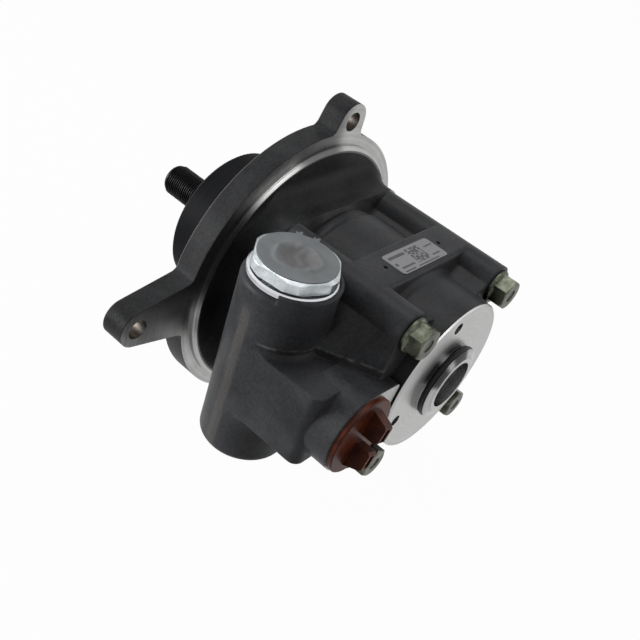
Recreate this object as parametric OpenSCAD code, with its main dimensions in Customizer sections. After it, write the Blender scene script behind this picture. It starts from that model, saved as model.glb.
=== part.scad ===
// Power steering pump: a gear driven vane pump for a truck engine, with a round mounting flange,
// a vertical flow control valve at the side and a through drive face at the rear.
// The shaft lies along X. x = 0 is the mounting face, +X points to the rear, +Z is up.

/* [Mounting flange] */
// Diameter of the round flange
flange_d = 169; // [164:0.5:174]
// Thickness of the flange and its ears
flange_t = 13.8; // [12:0.2:16]
// Diameter of the bolt holes in the ears
ear_hole_d = 11; // [9:0.5:13]
// Radius of the rounded ear tips
ear_tip_r = 10.4; // [9.5:0.1:12]
// Angle at which the sides of an ear widen towards the flange
ear_flare = 11; // [4:1:16]
// Fillet radius between an ear and the flange rim
ear_fillet = 5; // [3:0.5:8]
// Distance of the upper ear hole from the shaft axis
upper_ear_reach = 91.4; // [89:0.2:98]
// Distance of the lower ear hole from the shaft axis
lower_ear_reach = 115.2; // [105:0.2:125]
// Distance of the far ear hole from the shaft axis
far_ear_reach = 96; // [92:0.5:110]
// Angle of the upper ear, from +Y towards +Z
upper_ear_angle = 81.7; // [75:0.1:90]
// Angle of the lower ear, from +Y towards +Z
lower_ear_angle = 180.4; // [170:0.1:190]
// Angle of the far ear, from +Y towards +Z
far_ear_angle = -49; // [-60:1:-40]
// Width of the machined ring on the rear face of the flange
ring_w = 8.4; // [6:0.2:11]

/* [Pilot and shaft] */
// Diameter of the pilot that centres the pump in the engine
pilot_d = 87.2; // [84:0.2:94]
// Length of the pilot in front of the mounting face
pilot_l = 42; // [40:0.5:46]
// Length of shaft in front of the pilot
stub_l = 46.8; // [44:0.2:55]
// Nominal diameter of the shaft thread
thread_d = 20; // [18:0.5:22]
// Length of the shaft thread
thread_l = 27; // [22:0.5:30]
// Diameter of the gear seat
gear_seat_d = 25; // [24:0.5:27]
// Diameter of the shaft inside the pump
shaft_d = 28; // [27:0.5:29]

/* [Housing] */
// Length of the bell between the flange and the joint face
bell_l = 20.2; // [19:0.1:24]
// Distance between neighbouring cover bolts
bolt_pitch = 81.4; // [80:0.2:86]
// Radius of the bolt bosses
boss_r = 11.6; // [10.5:0.1:12.4]
// Length of the rear housing under the bolt heads
bolt_grip = 80.5; // [78.5:0.5:85]
// Radius of the barrel around the pump cartridge
barrel_r = 49.4; // [48.4:0.2:50.4]
// Distance from the joint face to the label pad
pad_back = 35.7; // [33.5:0.1:38]
// Width of the label pad
pad_w = 23.6; // [21:0.1:25]
// Overhang of the front housing around the joint
joint_lip = 0.8; // [0.4:0.1:1.6]

/* [Rear drive face] */
// Radius of the machined rear face
rear_r = 45.9; // [44.5:0.1:46.2]
// Height of the rear face over the bolt seats
rear_proud = 9.1; // [8:0.1:11]
// Diameter of the rear spigot
spigot_d = 43.2; // [42:0.2:45]
// Height of the rear spigot
spigot_l = 6.9; // [6.5:0.1:9]
// Diameter of the drive recess in the spigot
recess_d = 28.4; // [27:0.2:30]
// Depth of the drive recess in the spigot
recess_depth = 10; // [8:0.5:11]
// Diameter of the tapped holes in the rear face
rear_tap_d = 6.8; // [6:0.2:9]
// Radius on which the tapped holes lie
rear_tap_reach = 37.6; // [35:0.2:38.5]
// Depth of the tapped holes
rear_tap_depth = 18; // [14:1:20]

/* [Valve] */
// Distance of the valve axis from the shaft axis
valve_reach = 71; // [70:0.2:74]
// Distance of the valve axis behind the joint face
valve_back = 26.5; // [26:0.1:29]
// Radius of the valve chamber at its top
chamber_top_r = 24.4; // [23.6:0.1:25]
// Radius of the valve chamber at its foot
chamber_foot_r = 23.6; // [22.6:0.1:24]
// Height of the chamber top over the shaft axis
chamber_top = 48.6; // [46:0.2:50]
// Depth of the chamber foot under the shaft axis
chamber_foot = 55; // [52:0.5:58]
// Diameter of the valve bore
valve_bore_d = 24; // [22:0.5:25]
// Nominal diameter of the thread on the hexagon plug
plug_thread_d = 32; // [30:1:33]
// Width across the flats of the hexagon plug
plug_af = 41; // [40:0.5:43]
// Height of the plug hexagon
plug_hex_h = 6.4; // [5.5:0.1:9]
// Thickness of the sealing washer under the plug
plug_washer_t = 3.2; // [2.4:0.1:4]

/* [Ports] */
// Height of the side port over the shaft axis
port_z = -3; // [-5:0.5:0]
// Distance of the side port face in front of the rear face
port_set = 1.6; // [1:0.1:3]
// Radius of the side port boss
port_boss_r = 22.2; // [21.8:0.1:23]
// Nominal diameter of the side port thread
port_thread_d = 26; // [24:1:27]
// Half height of the block between the valve and the side port
block_half_h = 21; // [20:0.1:22]
// Nominal diameter of the lower port thread
low_port_thread_d = 18; // [16:1:20]

/* [Pump cartridge] */
// Radius of the bore that holds the cartridge
cartridge_r = 42; // [41:0.1:42.4]
// Thickness of the front side plate
side_plate_t = 8; // [7:0.5:9]
// Width of the cam ring
cam_w = 24; // [22:0.5:25]
// Smallest inner radius of the cam ring
cam_minor_r = 28.7; // [28:0.1:30]
// Height of the cam lobes
cam_lift = 3.2; // [2:0.1:4]
// Thickness of the pressure plate
pressure_plate_t = 10; // [9:0.5:11]
// Height of the disc spring behind the pressure plate
plate_spring_h = 4; // [3.5:0.1:5]
// Number of vanes
vane_count = 10; // [8:2:12]
// Thickness of a vane
vane_t = 2; // [1.6:0.1:2.4]

/* [Ball bearing] */
// Outer diameter of the bearing
bearing_od = 62; // [60:1:64]
// Bore of the bearing
bearing_id = 30; // [29:0.5:31]
// Width of the bearing
bearing_w = 16; // [15:0.5:17]
// Number of balls
ball_count = 9; // [8:1:9]

/* [Fasteners and seals] */
// Nominal diameter of the cover bolts
bolt_d = 10; // [8:1:10]
// Diameter of the washer face of the cover bolts
bolt_flange_d = 19.4; // [18:0.2:21.6]
// Width across the flats of the cover bolts
bolt_af = 16; // [13:0.5:16]
// Height of the cover bolt heads
bolt_head_h = 10.8; // [9:0.2:12]
// Depth to which the cover bolts enter the front housing
bolt_bite = 18; // [15:0.5:20]
// Cord diameter of the joint and spigot rings
ring_cord = 2.7; // [2.4:0.1:3]

/* [Clearances] */
// Radial running clearance of the shaft and the valve spool
running_gap = 0.03; // [0.02:0.01:0.06]
// Clearance between parts that are fitted together
fit_gap = 0.05; // [0.03:0.01:0.1]
// Axial clearance beside turning parts
side_gap = 0.3; // [0.2:0.05:0.4]
// Clearance of the bolt holes around the bolts
hole_gap = 0.5; // [0.3:0.1:0.8]

/* [Hidden] */
$fn = 72;
eps = 0.5;
hex_sides = 6;

iron = "dimgray";
bright = "gainsboro";
steel = "silver";
zinc = "lightsteelblue";
olive = "darkkhaki";
rubber = "black";
brown = "saddlebrown";

// Places along the shaft
flange_r = flange_d / 2;
pilot_r = pilot_d / 2;
pilot_x = -pilot_l;
tip_x = pilot_x - stub_l;
joint_x = flange_t + bell_l;
seat_x = joint_x + bolt_grip;
rear_x = seat_x + rear_proud;
spigot_x = rear_x + spigot_l;
cam_x = joint_x + side_plate_t;
pressure_x = cam_x + cam_w;
spring_x = pressure_x + pressure_plate_t;
pocket_x = spring_x + plate_spring_h;

// Front bearing and shaft seal
circlip_t = 1.8;
circlip_x = pilot_x + 2.2;
bearing_x = circlip_x + circlip_t + fit_gap;
bearing_end = bearing_x + bearing_w;
bearing_mid = bearing_x + bearing_w / 2;
ball_pitch_r = (bearing_od + bearing_id) / 4;
ball_r = 0.3 * (bearing_od - bearing_id) / 2;
race_r = ball_r + 0.12;
shoulder_r = bearing_id / 2 + 2.4;
seal_w = 8;
seal_r = 22;
seal_wall = 4;
seal_x = bearing_end + 6;
shaft_r = shaft_d / 2;

// Bell and joint
bolt_half = bolt_pitch / 2;
square_half = bolt_half + boss_r;
barrel_step = 1.2;
pad_top = max(square_half, barrel_r + barrel_step + 1);
ring_step = 2;
ring_rise = 3.2;
bell_r = flange_r - ring_w;
bell_x = flange_t + ring_rise;
neck_fillet = 12;
ear_places = [
    [upper_ear_reach, upper_ear_angle],
    [lower_ear_reach, lower_ear_angle],
    [far_ear_reach, far_ear_angle],
];

// Label and its pins
label_l = 40.6;
label_w = 16.2;
label_t = 0.4;
pin_r = 1.3;
pin_depth = 3;
pin_place = label_l / 2 + 4.2;

// Through drive end of the shaft
bush_r = 16;
bush_x = pocket_x + 6;
bush_l = 20;
bush_end = bush_x + bush_l;
tail_r = 12.5;
tail_end = spigot_x - recess_depth - 1;
slot_w = 8;
slot_depth = 7;

// Cartridge details
rotor_r = cam_minor_r - 0.9;
rotor_x = cam_x + side_gap;
rotor_end = pressure_x - side_gap;
vane_foot_r = rotor_r - 11;
vane_tip_r = cam_minor_r - side_gap;
spline_teeth = 12;
spline_r = 13;
spline_root_r = 11.8;
spline_tooth_w = 3;
plate_bore_r = 17.6;
kidney_r = 22.4;
kidney_half_w = 2.6;
kidney_sweep = 44;
dowel_r = 2.5;
dowel_reach = cartridge_r - 4.9;
clip_t = 1.5;
clip_r = 16.2;

// Valve places
valve_x = joint_x + valve_back;
valve_y = -valve_reach;
valve_bore_r = valve_bore_d / 2;
valve_floor = -chamber_foot + 8.5;
plug_r = plug_thread_d / 2;
plug_depth = 16.2;
washer_r = plug_af / 2 + 2.1;
washer_top = chamber_top + plug_washer_t;
neck_h = 1;
plug_turn = 7.4;
hex_z = washer_top + neck_h;
hex_top = hex_z + plug_hex_h;
plug_nose = chamber_top - plug_depth - 4.4;
spool_top = plug_nose;
spool_l = 46;
spool_foot = spool_top - spool_l;
spool_r = valve_bore_r - running_gap;
relief_r = 6;
relief_seat_l = 8;
relief_top = spool_top - 13;
relief_ball_r = 2.6;
relief_hole_r = 1.7;
seat_top = spool_foot + relief_seat_l;
ball_rise = sqrt(pow(relief_ball_r + fit_gap, 2) - pow(relief_hole_r, 2));
ball_z = seat_top + ball_rise;
guide_z = ball_z + 1.2;
guide_l = 5;
guide_top = guide_z + guide_l;

// Ports
port_x = rear_x - port_set;
port_boss_l = 12.5;
block_end = port_x - port_boss_l;
block_y = valve_y - chamber_top_r + 0.6;
block_round = 2.4;
port_thread_r = port_thread_d / 2;
port_depth = 18;
port_way_r = 7;
low_port_r = low_port_thread_d / 2;
low_port_boss_r = low_port_r + 6;
low_port_face = -square_half - 8;
low_port_x = pocket_x - plate_spring_h / 2;
low_port_depth = 11;
low_port_way_r = plate_spring_h / 2 - 0.2;
suction_way_r = 4;
suction_way_z = port_z - 12;
side_shank_l = 12;
side_grip_h = 10;
low_shank_l = 8;
low_grip_h = 8;

// Axis helpers: flat shapes are drawn in the Y-Z plane and run along X
module x_out(from, to) {
    translate([from, 0, 0]) rotate([90, 0, 90]) linear_extrude(to - from) children();
}

// Turned shapes take points of radius and x
module x_turn() {
    rotate([90, 0, 90]) rotate_extrude() children();
}

module x_rod(r, from, to, y = 0, z = 0) {
    translate([from, y, z]) rotate([0, 90, 0]) cylinder(r = r, h = to - from);
}

// A turned step between two places on the shaft axis
module x_tube(outer, inner, from, to) {
    x_turn() translate([inner, from]) square([outer - inner, to - from]);
}

module at_valve() {
    translate([valve_x, valve_y, 0]) children();
}

module at_bolts() {
    for (y = [-1, 1], z = [-1, 1]) translate([0, y * bolt_half, z * bolt_half]) children();
}

// Two circles and the straight sides that touch both
module belt(a, ra, b, rb) {
    gap = norm(b - a);
    turn = atan2(b[1] - a[1], b[0] - a[0]);
    lean = acos((ra - rb) / gap);
    translate(a) circle(ra);
    translate(b) circle(rb);
    polygon([
        a + ra * [cos(turn + lean), sin(turn + lean)], b + rb * [cos(turn + lean), sin(turn + lean)],
        b + rb * [cos(turn - lean), sin(turn - lean)], a + ra * [cos(turn - lean), sin(turn - lean)],
    ]);
}

// Rectangle between two corners, rounded by circles
module soft_rect(low, high, r) {
    translate([low[0] + r, low[1]]) square([high[0] - low[0] - 2 * r, high[1] - low[1]]);
    translate([low[0], low[1] + r]) square([high[0] - low[0], high[1] - low[1] - 2 * r]);
    for (u = [low[0] + r, high[0] - r], v = [low[1] + r, high[1] - r]) translate([u, v]) circle(r);
}

// Flange and its ears
module ear_side(reach) {
    root_r = flange_r - 0.3;
    tip = [reach, 0];
    out = [sin(ear_flare), cos(ear_flare)];
    run = [-cos(ear_flare), sin(ear_flare)];
    start = tip + (ear_tip_r + ear_fillet) * out;
    along = start * run;
    way = -along - sqrt(along * along - start * start + pow(root_r + ear_fillet, 2));
    fillet_at = start + way * run;
    difference() {
        polygon([
            [0, 0], tip, tip + ear_tip_r * out, tip + ear_tip_r * out + way * run, fillet_at,
            fillet_at * root_r / (root_r + ear_fillet),
        ]);
        translate(fillet_at) circle(ear_fillet);
    }
}

module ear_outline(reach, angle) {
    rotate(angle) {
        ear_side(reach);
        mirror([0, 1]) ear_side(reach);
        translate([reach, 0]) circle(ear_tip_r);
    }
}

module ears(reach_angles) {
    for (ear = reach_angles) x_out(0, flange_t) ear_outline(ear[0], ear[1]);
}

module ear_holes(reach_angles) {
    for (ear = reach_angles)
        x_rod(ear_hole_d / 2, -eps, flange_t + eps, ear[0] * cos(ear[1]), ear[0] * sin(ear[1]));
}

// Front housing: pilot, flange and bell in one casting
module bell_profile() {
    polygon([
        [0, flange_t / 2], [bell_r + ring_step, flange_t / 2],
        [bell_r + ring_step, bell_x - ring_step + 0.4], [bell_r, bell_x], [0, bell_x],
    ]);
}

// Height of the neck wall over its root, widened by a fillet, as distance from the wall and x
module neck_flare(inside) {
    difference() {
        translate([-inside, bell_x - eps]) square([inside + neck_fillet, neck_fillet + eps]);
        translate([neck_fillet, bell_x + neck_fillet]) circle(neck_fillet);
    }
    translate([-inside, bell_x]) square([inside, joint_x - bell_x]);
}

// Square neck with round corners that grows out of the bell
module neck() {
    wall = square_half + joint_lip;
    corner = boss_r + joint_lip;
    intersection() {
        x_rod(bell_r - ring_step, flange_t, joint_x);
        for (turn = [0 : 90 : 270])
            rotate([turn, 0, 0]) {
                translate([0, bolt_half, bolt_half]) rotate([90, 0, 90]) rotate_extrude(angle = 90)
                    translate([corner, 0]) neck_flare(corner);
                translate([0, bolt_half, wall]) rotate([90, 0, 0])
                    linear_extrude(bolt_pitch) mirror([1, -1]) neck_flare(wall);
            }
    }
}

module pilot_profile() {
    pilot_chamfer = 1.6;
    polygon([
        [0, pilot_x], [pilot_r - pilot_chamfer, pilot_x], [pilot_r, pilot_x + pilot_chamfer],
        [pilot_r, flange_t / 2], [0, flange_t / 2],
    ]);
}

module front_housing() {
    color(iron)
    difference() {
        union() {
            x_rod(flange_r, 0, flange_t);
            ears(ear_places);
            x_turn() bell_profile();
            x_turn() pilot_profile();
            neck();
        }
        ear_holes(ear_places);
        x_rod(bearing_od / 2 + fit_gap, pilot_x - eps, bearing_end + fit_gap);
        x_tube(bearing_od / 2 + 1.6, bearing_od / 2 - eps, circlip_x, circlip_x + circlip_t + fit_gap);
        x_rod(seal_r + fit_gap, bearing_end, seal_x + seal_w + fit_gap);
        x_rod(shaft_r + 0.6, seal_x, joint_x + eps);
        at_bolts() x_rod(bolt_d / 2 + fit_gap, joint_x - bolt_bite - 3, joint_x + eps);
        for (side = [-1, 1])
            x_rod(dowel_r + fit_gap, joint_x - 6, joint_x + eps, side * dowel_reach);
    }
}

// Rear housing: barrel, bolt bosses, valve chamber and side port in one casting
module chamber_profile() {
    foot_round = 4;
    top_round = 3.6;
    polygon([
        [0, -chamber_foot], [chamber_foot_r - foot_round, -chamber_foot],
        [chamber_foot_r - foot_round, -chamber_foot + foot_round],
        [chamber_foot_r, -chamber_foot + foot_round], [chamber_top_r, chamber_top - top_round],
        [chamber_top_r - top_round, chamber_top - top_round], [chamber_top_r - top_round, chamber_top],
        [0, chamber_top],
    ]);
    translate([chamber_foot_r - foot_round, -chamber_foot + foot_round]) circle(foot_round);
    translate([chamber_top_r - top_round, chamber_top - top_round]) circle(top_round);
}

// Raised lip of the casting that half surrounds the washer
module plug_lip() {
    lip_h = plug_washer_t - 0.2;
    lip_run = 8;
    at_valve() rotate(-65) rotate_extrude(angle = 205) polygon([
        [washer_r - 2, chamber_top - lip_run], [chamber_top_r - 0.5, chamber_top - lip_run],
        [chamber_top_r + 0.6, chamber_top + lip_h - 1], [chamber_top_r - 0.2, chamber_top + lip_h],
        [washer_r - 2, chamber_top + lip_h],
    ]);
}

// Side view of the label pad with its rear edge rounded
module pad_profile() {
    from = joint_x + pad_back;
    round_r = 3;
    translate([from, 0]) square([pad_w, pad_top - round_r]);
    translate([from, 0]) square([pad_w - round_r, pad_top]);
    translate([from + pad_w - round_r, pad_top - round_r]) circle(round_r);
}

// Twisted web that runs from the chamber to the upper boss, as sections along the shaft
module side_web() {
    foot_z = port_z + block_half_h + 4.5;
    steps = 8;
    corners = 5;
    turn_x = valve_x + chamber_top_r - 0.4;
    end_y = -square_half - 2;
    places = concat(
        [[valve_x, valve_y]],
        [for (i = [0 : steps]) [turn_x, valve_y] + i / steps * [seat_x - turn_x, end_y - valve_y]]
    );
    last = len(places) - 1;
    points = [
        for (at = places)
            each [
                [at[0], -bolt_half, port_z], [at[0], at[1], port_z], [at[0], at[1], foot_z],
                [at[0], -square_half + 0.4, bolt_half], [at[0], -bolt_half, bolt_half],
            ]
    ];
    walls = [
        for (i = [0 : last - 1], j = [0 : corners - 1])
            let (k = (j + 1) % corners, here = i * corners, next = here + corners)
                each [[here + j, here + k, next + k], [here + j, next + k, next + j]]
    ];
    polyhedron(points, concat(
        walls,
        [[for (j = [0 : corners - 1]) corners - 1 - j]],
        [[for (j = [0 : corners - 1]) last * corners + j]]
    ));
}

// Fillets where the chamber stands over and under the block
module block_fillets() {
    r = 5;
    sink = 0.2;
    reach = chamber_foot_r + r - sink;
    intersection() {
        translate([valve_x, block_y + 0.6, port_z - 2 * block_half_h])
            cube([block_end - valve_x - 8, -bolt_half - block_y, 4 * block_half_h]);
        at_valve() translate([0, 0, port_z]) for (side = [0, 1])
            mirror([0, 0, side]) rotate_extrude() difference() {
                translate([reach - 2 * r, block_half_h - r]) square([2 * r, 2 * r - sink]);
                translate([reach, block_half_h + r - sink]) circle(r);
            }
    }
}

module barrel_profile() {
    slope = 4.5;
    slope_x = joint_x + pad_back + pad_w - 2;
    step_x = joint_x + 6;
    rim_chamfer = 0.8;
    groove_r = spigot_d / 2 - ring_cord * 0.8;
    groove_x = (rear_x + spigot_x) / 2;
    groove_half = ring_cord * 0.6;
    polygon([
        [0, joint_x], [barrel_r, joint_x], [barrel_r, step_x],
        [barrel_r + barrel_step, step_x + 1.3 * barrel_step], [barrel_r + barrel_step, slope_x],
        [rear_r, slope_x + slope], [rear_r, rear_x - rim_chamfer],
        [rear_r - rim_chamfer, rear_x], [spigot_d / 2, rear_x], [spigot_d / 2, groove_x - groove_half],
        [groove_r, groove_x - groove_half], [groove_r, groove_x + groove_half],
        [spigot_d / 2, groove_x + groove_half], [spigot_d / 2, spigot_x - rim_chamfer],
        [spigot_d / 2 - rim_chamfer, spigot_x], [0, spigot_x],
    ]);
}

module rear_castings() {
    web_in = 14;
    neck_half = 17;
    tip_r = 2.6;
    tip_y = -rear_r - tip_r;
    tip_z = port_z + block_half_h - 3.5;
    tip_run = 26;
    block_corner = 6;
    web_root = 8;
    web_half = 0.6 * barrel_r;
    web_reach = bolt_half * sqrt(2);
    x_turn() barrel_profile();
    at_bolts() x_rod(boss_r, joint_x, seat_x);
    // Webs that tie the bosses to the barrel
    for (turn = [45 : 90 : 315])
        x_out(joint_x, seat_x) rotate(turn) polygon([
            [web_root, -web_half], [web_reach, -0.75 * boss_r],
            [web_reach, 0.75 * boss_r], [web_root, web_half],
        ]);
    // Flat pad for the label between the two upper bosses
    translate([0, bolt_half, 0]) rotate([90, 0, 0]) linear_extrude(bolt_pitch) pad_profile();
    // Flat wall between the two bosses beside the valve
    translate([joint_x, -square_half, -bolt_half]) cube([bolt_grip, web_in, bolt_pitch]);
    at_valve() rotate_extrude() chamber_profile();
    // Neck between the chamber and the barrel
    translate([valve_x - neck_half, valve_y, -chamber_foot + 8])
        cube([2 * neck_half, valve_reach - square_half + 2, chamber_foot + chamber_top - 12]);
    side_web();
    // Block from the chamber to the side port
    intersection() {
        x_out(valve_x, block_end + 1) soft_rect(
            [block_y - 1, port_z - block_half_h], [-bolt_half, port_z + block_half_h], block_round
        );
        translate([0, 0, port_z - block_half_h - 1]) linear_extrude(2 * block_half_h + 2)
            soft_rect([valve_x - 2 * block_corner, block_y], [block_end, 0], block_corner);
    }
    block_fillets();
    plug_lip();
    x_out(port_x - tip_run, port_x) belt([valve_y, port_z], port_boss_r, [tip_y, tip_z], tip_r);
    // Boss of the lower port
    translate([low_port_x, 0, low_port_face])
        cylinder(r = low_port_boss_r, h = -low_port_face - barrel_r + 8);
}

module rear_tap_places() {
    for (angle = [102.5, 200.8])
        translate([0, rear_tap_reach * cos(angle), rear_tap_reach * sin(angle)]) children();
}

module rear_housing() {
    groove_mid = (cartridge_r + barrel_r) / 2;
    groove_half = ring_cord * 0.6;
    gallery_half = cam_w / 2 - 5;
    color(iron)
    difference() {
        rear_castings();
        x_rod(cartridge_r, joint_x - eps, pocket_x);
        // Suction gallery around the cam ring
        x_tube(cartridge_r + 2.6, cartridge_r - eps, cam_x + cam_w / 2 - gallery_half,
            cam_x + cam_w / 2 + gallery_half);
        x_tube(groove_mid + groove_half, groove_mid - groove_half, joint_x - eps, joint_x + ring_cord);
        x_rod(bush_r, pocket_x - eps, bush_end);
        x_rod(tail_r + 1, bush_x, spigot_x);
        x_rod(recess_d / 2, spigot_x - recess_depth, spigot_x + eps);
        at_bolts() x_rod(bolt_d / 2 + hole_gap, joint_x - eps, seat_x + eps);
        rear_tap_places() x_rod(rear_tap_d / 2, rear_x - rear_tap_depth, rear_x + eps);
        // Valve bore and plug thread
        at_valve() translate([0, 0, valve_floor])
            cylinder(r = valve_bore_r, h = chamber_top - valve_floor + eps);
        at_valve() translate([0, 0, chamber_top - plug_depth - 2])
            cylinder(r = plug_r + fit_gap, h = plug_depth + 2 + eps);
        at_valve() translate([0, 0, chamber_top]) cylinder(r = washer_r + hole_gap, h = plug_hex_h);
        // Side port and its way to the valve
        x_rod(port_thread_r, port_x - port_depth, port_x + eps, valve_y, port_z);
        x_rod(port_way_r, valve_x, port_x - port_depth + eps, valve_y, port_z);
        // Way from the valve to the suction gallery
        translate([cam_x + cam_w / 2, valve_y, suction_way_z])
            rotate([-90, 0, 0]) cylinder(r = suction_way_r, h = valve_reach - cartridge_r + 4);
        // Lower port and its way to the pressure pocket
        translate([low_port_x, 0, low_port_face - eps])
            cylinder(r = low_port_r, h = low_port_depth + eps);
        translate([low_port_x, 0, low_port_face])
            cylinder(r = low_port_way_r, h = -low_port_face - cartridge_r + 12);
        // Pin holes beside the label
        for (side = [-1, 1])
            translate([joint_x + pad_back + pad_w / 2, side * pin_place, pad_top - pin_depth])
                cylinder(r = pin_r, h = pin_depth + eps);
    }
}

// Shaft line
module drive_shaft() {
    thread_end = tip_x + thread_l;
    undercut = 2;
    tip_chamfer = 1.4;
    color(steel)
    difference() {
        union() {
            x_turn() polygon([
                [0, tip_x], [thread_d / 2 - tip_chamfer, tip_x], [thread_d / 2, tip_x + tip_chamfer],
                [thread_d / 2, thread_end], [thread_d / 2 - 1.2, thread_end],
                [thread_d / 2 - 1.2, thread_end + undercut],
                [gear_seat_d / 2 - 1, thread_end + undercut],
                [gear_seat_d / 2, thread_end + undercut + 1], [gear_seat_d / 2, bearing_x],
                [bearing_id / 2, bearing_x], [bearing_id / 2, bearing_end],
                [shoulder_r, bearing_end], [shoulder_r, bearing_end + 3], [shaft_r, bearing_end + 3],
                [shaft_r, rotor_x - clip_t], [spline_root_r, rotor_x - clip_t],
                [spline_root_r, rotor_end + clip_t], [tail_r, rotor_end + clip_t],
                [tail_r, tail_end - 1], [tail_r - 1, tail_end], [0, tail_end],
            ]);
            spline(spline_r, spline_tooth_w, rotor_x, rotor_end);
        }
        translate([tail_end - slot_depth, -tail_r - 1, -slot_w / 2])
            cube([slot_depth + 1, 2 * tail_r + 2, slot_w]);
    }
}

module spline(r, tooth_w, from, to) {
    intersection() {
        x_rod(r, from, to);
        for (i = [0 : spline_teeth - 1])
            rotate([i * 360 / spline_teeth, 0, 0]) translate([from, -tooth_w / 2, 0])
                cube([to - from, tooth_w, r + 1]);
    }
}

module bearing_ring(outer, inner) {
    color(steel)
    x_turn() difference() {
        translate([inner, bearing_x]) square([outer - inner, bearing_w]);
        translate([ball_pitch_r, bearing_mid]) circle(race_r);
    }
}

module bearing_outer_ring() {
    bearing_ring(bearing_od / 2, ball_pitch_r + 0.5 * ball_r);
}

module bearing_inner_ring() {
    bearing_ring(ball_pitch_r - 0.5 * ball_r, bearing_id / 2 + fit_gap / 2);
}

module at_balls() {
    for (i = [0 : ball_count - 1])
        rotate([i * 360 / ball_count, 0, 0]) translate([bearing_mid, 0, ball_pitch_r]) children();
}

module bearing_balls() {
    color(bright) at_balls() sphere(ball_r);
}

module bearing_cage() {
    cage_half_t = 0.28 * ball_r;
    color(steel)
    difference() {
        x_tube(ball_pitch_r + cage_half_t, ball_pitch_r - cage_half_t, bearing_mid - ball_r - 1.2,
            bearing_mid + ball_r + 1.2);
        at_balls() sphere(race_r);
    }
}

// Spring ring with two eyes, closed outwards or inwards
module bearing_circlip() {
    seat_r = bearing_od / 2 + 1.5;
    band = 4;
    gap_half = 7;
    eye_r = 3.2;
    eye_reach = seat_r - band - 0.6;
    eye_turn = asin((gap_half + eye_r) / eye_reach);
    color(steel)
    x_out(circlip_x + fit_gap / 2, circlip_x + fit_gap / 2 + circlip_t) difference() {
        union() {
            difference() {
                circle(seat_r);
                circle(seat_r - band);
                translate([-gap_half, -seat_r - 1]) square([2 * gap_half, seat_r]);
            }
            for (side = [-1, 1])
                rotate(-90 + side * eye_turn) translate([eye_reach, 0]) circle(eye_r);
        }
        for (side = [-1, 1])
            rotate(-90 + side * eye_turn) translate([eye_reach, 0]) circle(1.3);
    }
}

// Radial lip seal with a steel case and a spring behind its lip
module shaft_seal() {
    lip_r = shaft_r + running_gap;
    lip_x = seal_x + seal_w - 2.6;
    color(rubber)
    x_turn() difference() {
        polygon([
            [seal_r, seal_x], [seal_r, seal_x + seal_w], [seal_r - seal_wall / 2, seal_x + seal_w],
            [seal_r - seal_wall / 2, seal_x + 2.4], [lip_r + 3.2, seal_x + 2.4],
            [lip_r + 2.4, lip_x + 1.6], [lip_r + 0.8, lip_x + 1.6], [lip_r, lip_x],
            [lip_r + 1.4, seal_x],
        ]);
        translate([lip_r + 3.2, lip_x]) circle(1.2);
    }
}

module seal_spring() {
    lip_r = shaft_r + running_gap;
    color(steel)
    x_turn() translate([lip_r + 3.2, seal_x + seal_w - 2.6]) circle(1.1);
}

// Pump cartridge
module kidneys(from, to) {
    for (i = [0 : 3])
        rotate([45 + i * 90 - kidney_sweep / 2, 0, 0])
            rotate([90, 0, 90])
                translate([0, 0, from]) rotate_extrude(angle = kidney_sweep)
                    translate([kidney_r - kidney_half_w, 0]) square([2 * kidney_half_w, to - from]);
}

module dowel_holes(from, to) {
    for (side = [-1, 1]) x_rod(dowel_r + fit_gap, from, to, side * dowel_reach);
}

module front_side_plate() {
    color(steel)
    difference() {
        x_tube(cartridge_r - fit_gap, plate_bore_r, joint_x, cam_x);
        kidneys(cam_x - 3, cam_x + eps);
        dowel_holes(joint_x - eps, cam_x + eps);
    }
}

function cam_r(angle) = cam_minor_r + cam_lift * (1 - cos(2 * angle)) / 2;

module cam_ring() {
    cam_steps = 72;
    color(bright)
    difference() {
        x_rod(cartridge_r - fit_gap, cam_x, pressure_x);
        x_out(cam_x - eps, pressure_x + eps) polygon([
            for (i = [0 : cam_steps - 1]) let (a = i * 360 / cam_steps) cam_r(a) * [cos(a), sin(a)]
        ]);
        dowel_holes(cam_x - eps, pressure_x + eps);
        // Suction windows through the ring
        translate([cam_x + cam_w / 2, 0, 0]) cylinder(r = 4, h = 2 * cartridge_r + 1, center = true);
    }
}

module rotor() {
    slot_gap = 0.1;
    color(steel)
    difference() {
        x_rod(rotor_r, rotor_x, rotor_end);
        x_rod(spline_root_r + fit_gap, rotor_x - eps, rotor_end + eps);
        spline(spline_r + fit_gap, spline_tooth_w + 2 * fit_gap, rotor_x - eps, rotor_end + eps);
        at_vanes() translate([rotor_x - eps, -vane_t / 2 - slot_gap, vane_foot_r - slot_gap])
            cube([rotor_end - rotor_x + 2 * eps, vane_t + 2 * slot_gap, rotor_r]);
    }
}

module at_vanes() {
    for (i = [0 : vane_count - 1]) rotate([(i + 0.5) * 360 / vane_count, 0, 0]) children();
}

module vanes() {
    color(bright)
    at_vanes() translate([rotor_x, -vane_t / 2, vane_foot_r])
        cube([rotor_end - rotor_x, vane_t, vane_tip_r - vane_foot_r]);
}

// Open rings that hold the rotor on its spline
module rotor_circlips() {
    gap_half = 3;
    color(steel)
    for (x = [rotor_x - clip_t, rotor_end])
        x_out(x + fit_gap / 2, x + clip_t - fit_gap / 2) difference() {
            circle(clip_r);
            circle(spline_root_r + fit_gap);
            translate([-gap_half, 0]) square([2 * gap_half, clip_r + 1]);
        }
}

module pressure_plate() {
    groove_mid = (pressure_x + spring_x) / 2;
    groove_half = 1.8;
    color(steel)
    difference() {
        x_tube(cartridge_r - fit_gap, plate_bore_r, pressure_x, spring_x);
        x_tube(cartridge_r + 1, cartridge_r - 2.4, groove_mid - groove_half, groove_mid + groove_half);
        kidneys(pressure_x - eps, spring_x + eps);
        dowel_holes(pressure_x - eps, pressure_x + 4);
    }
}

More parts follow.
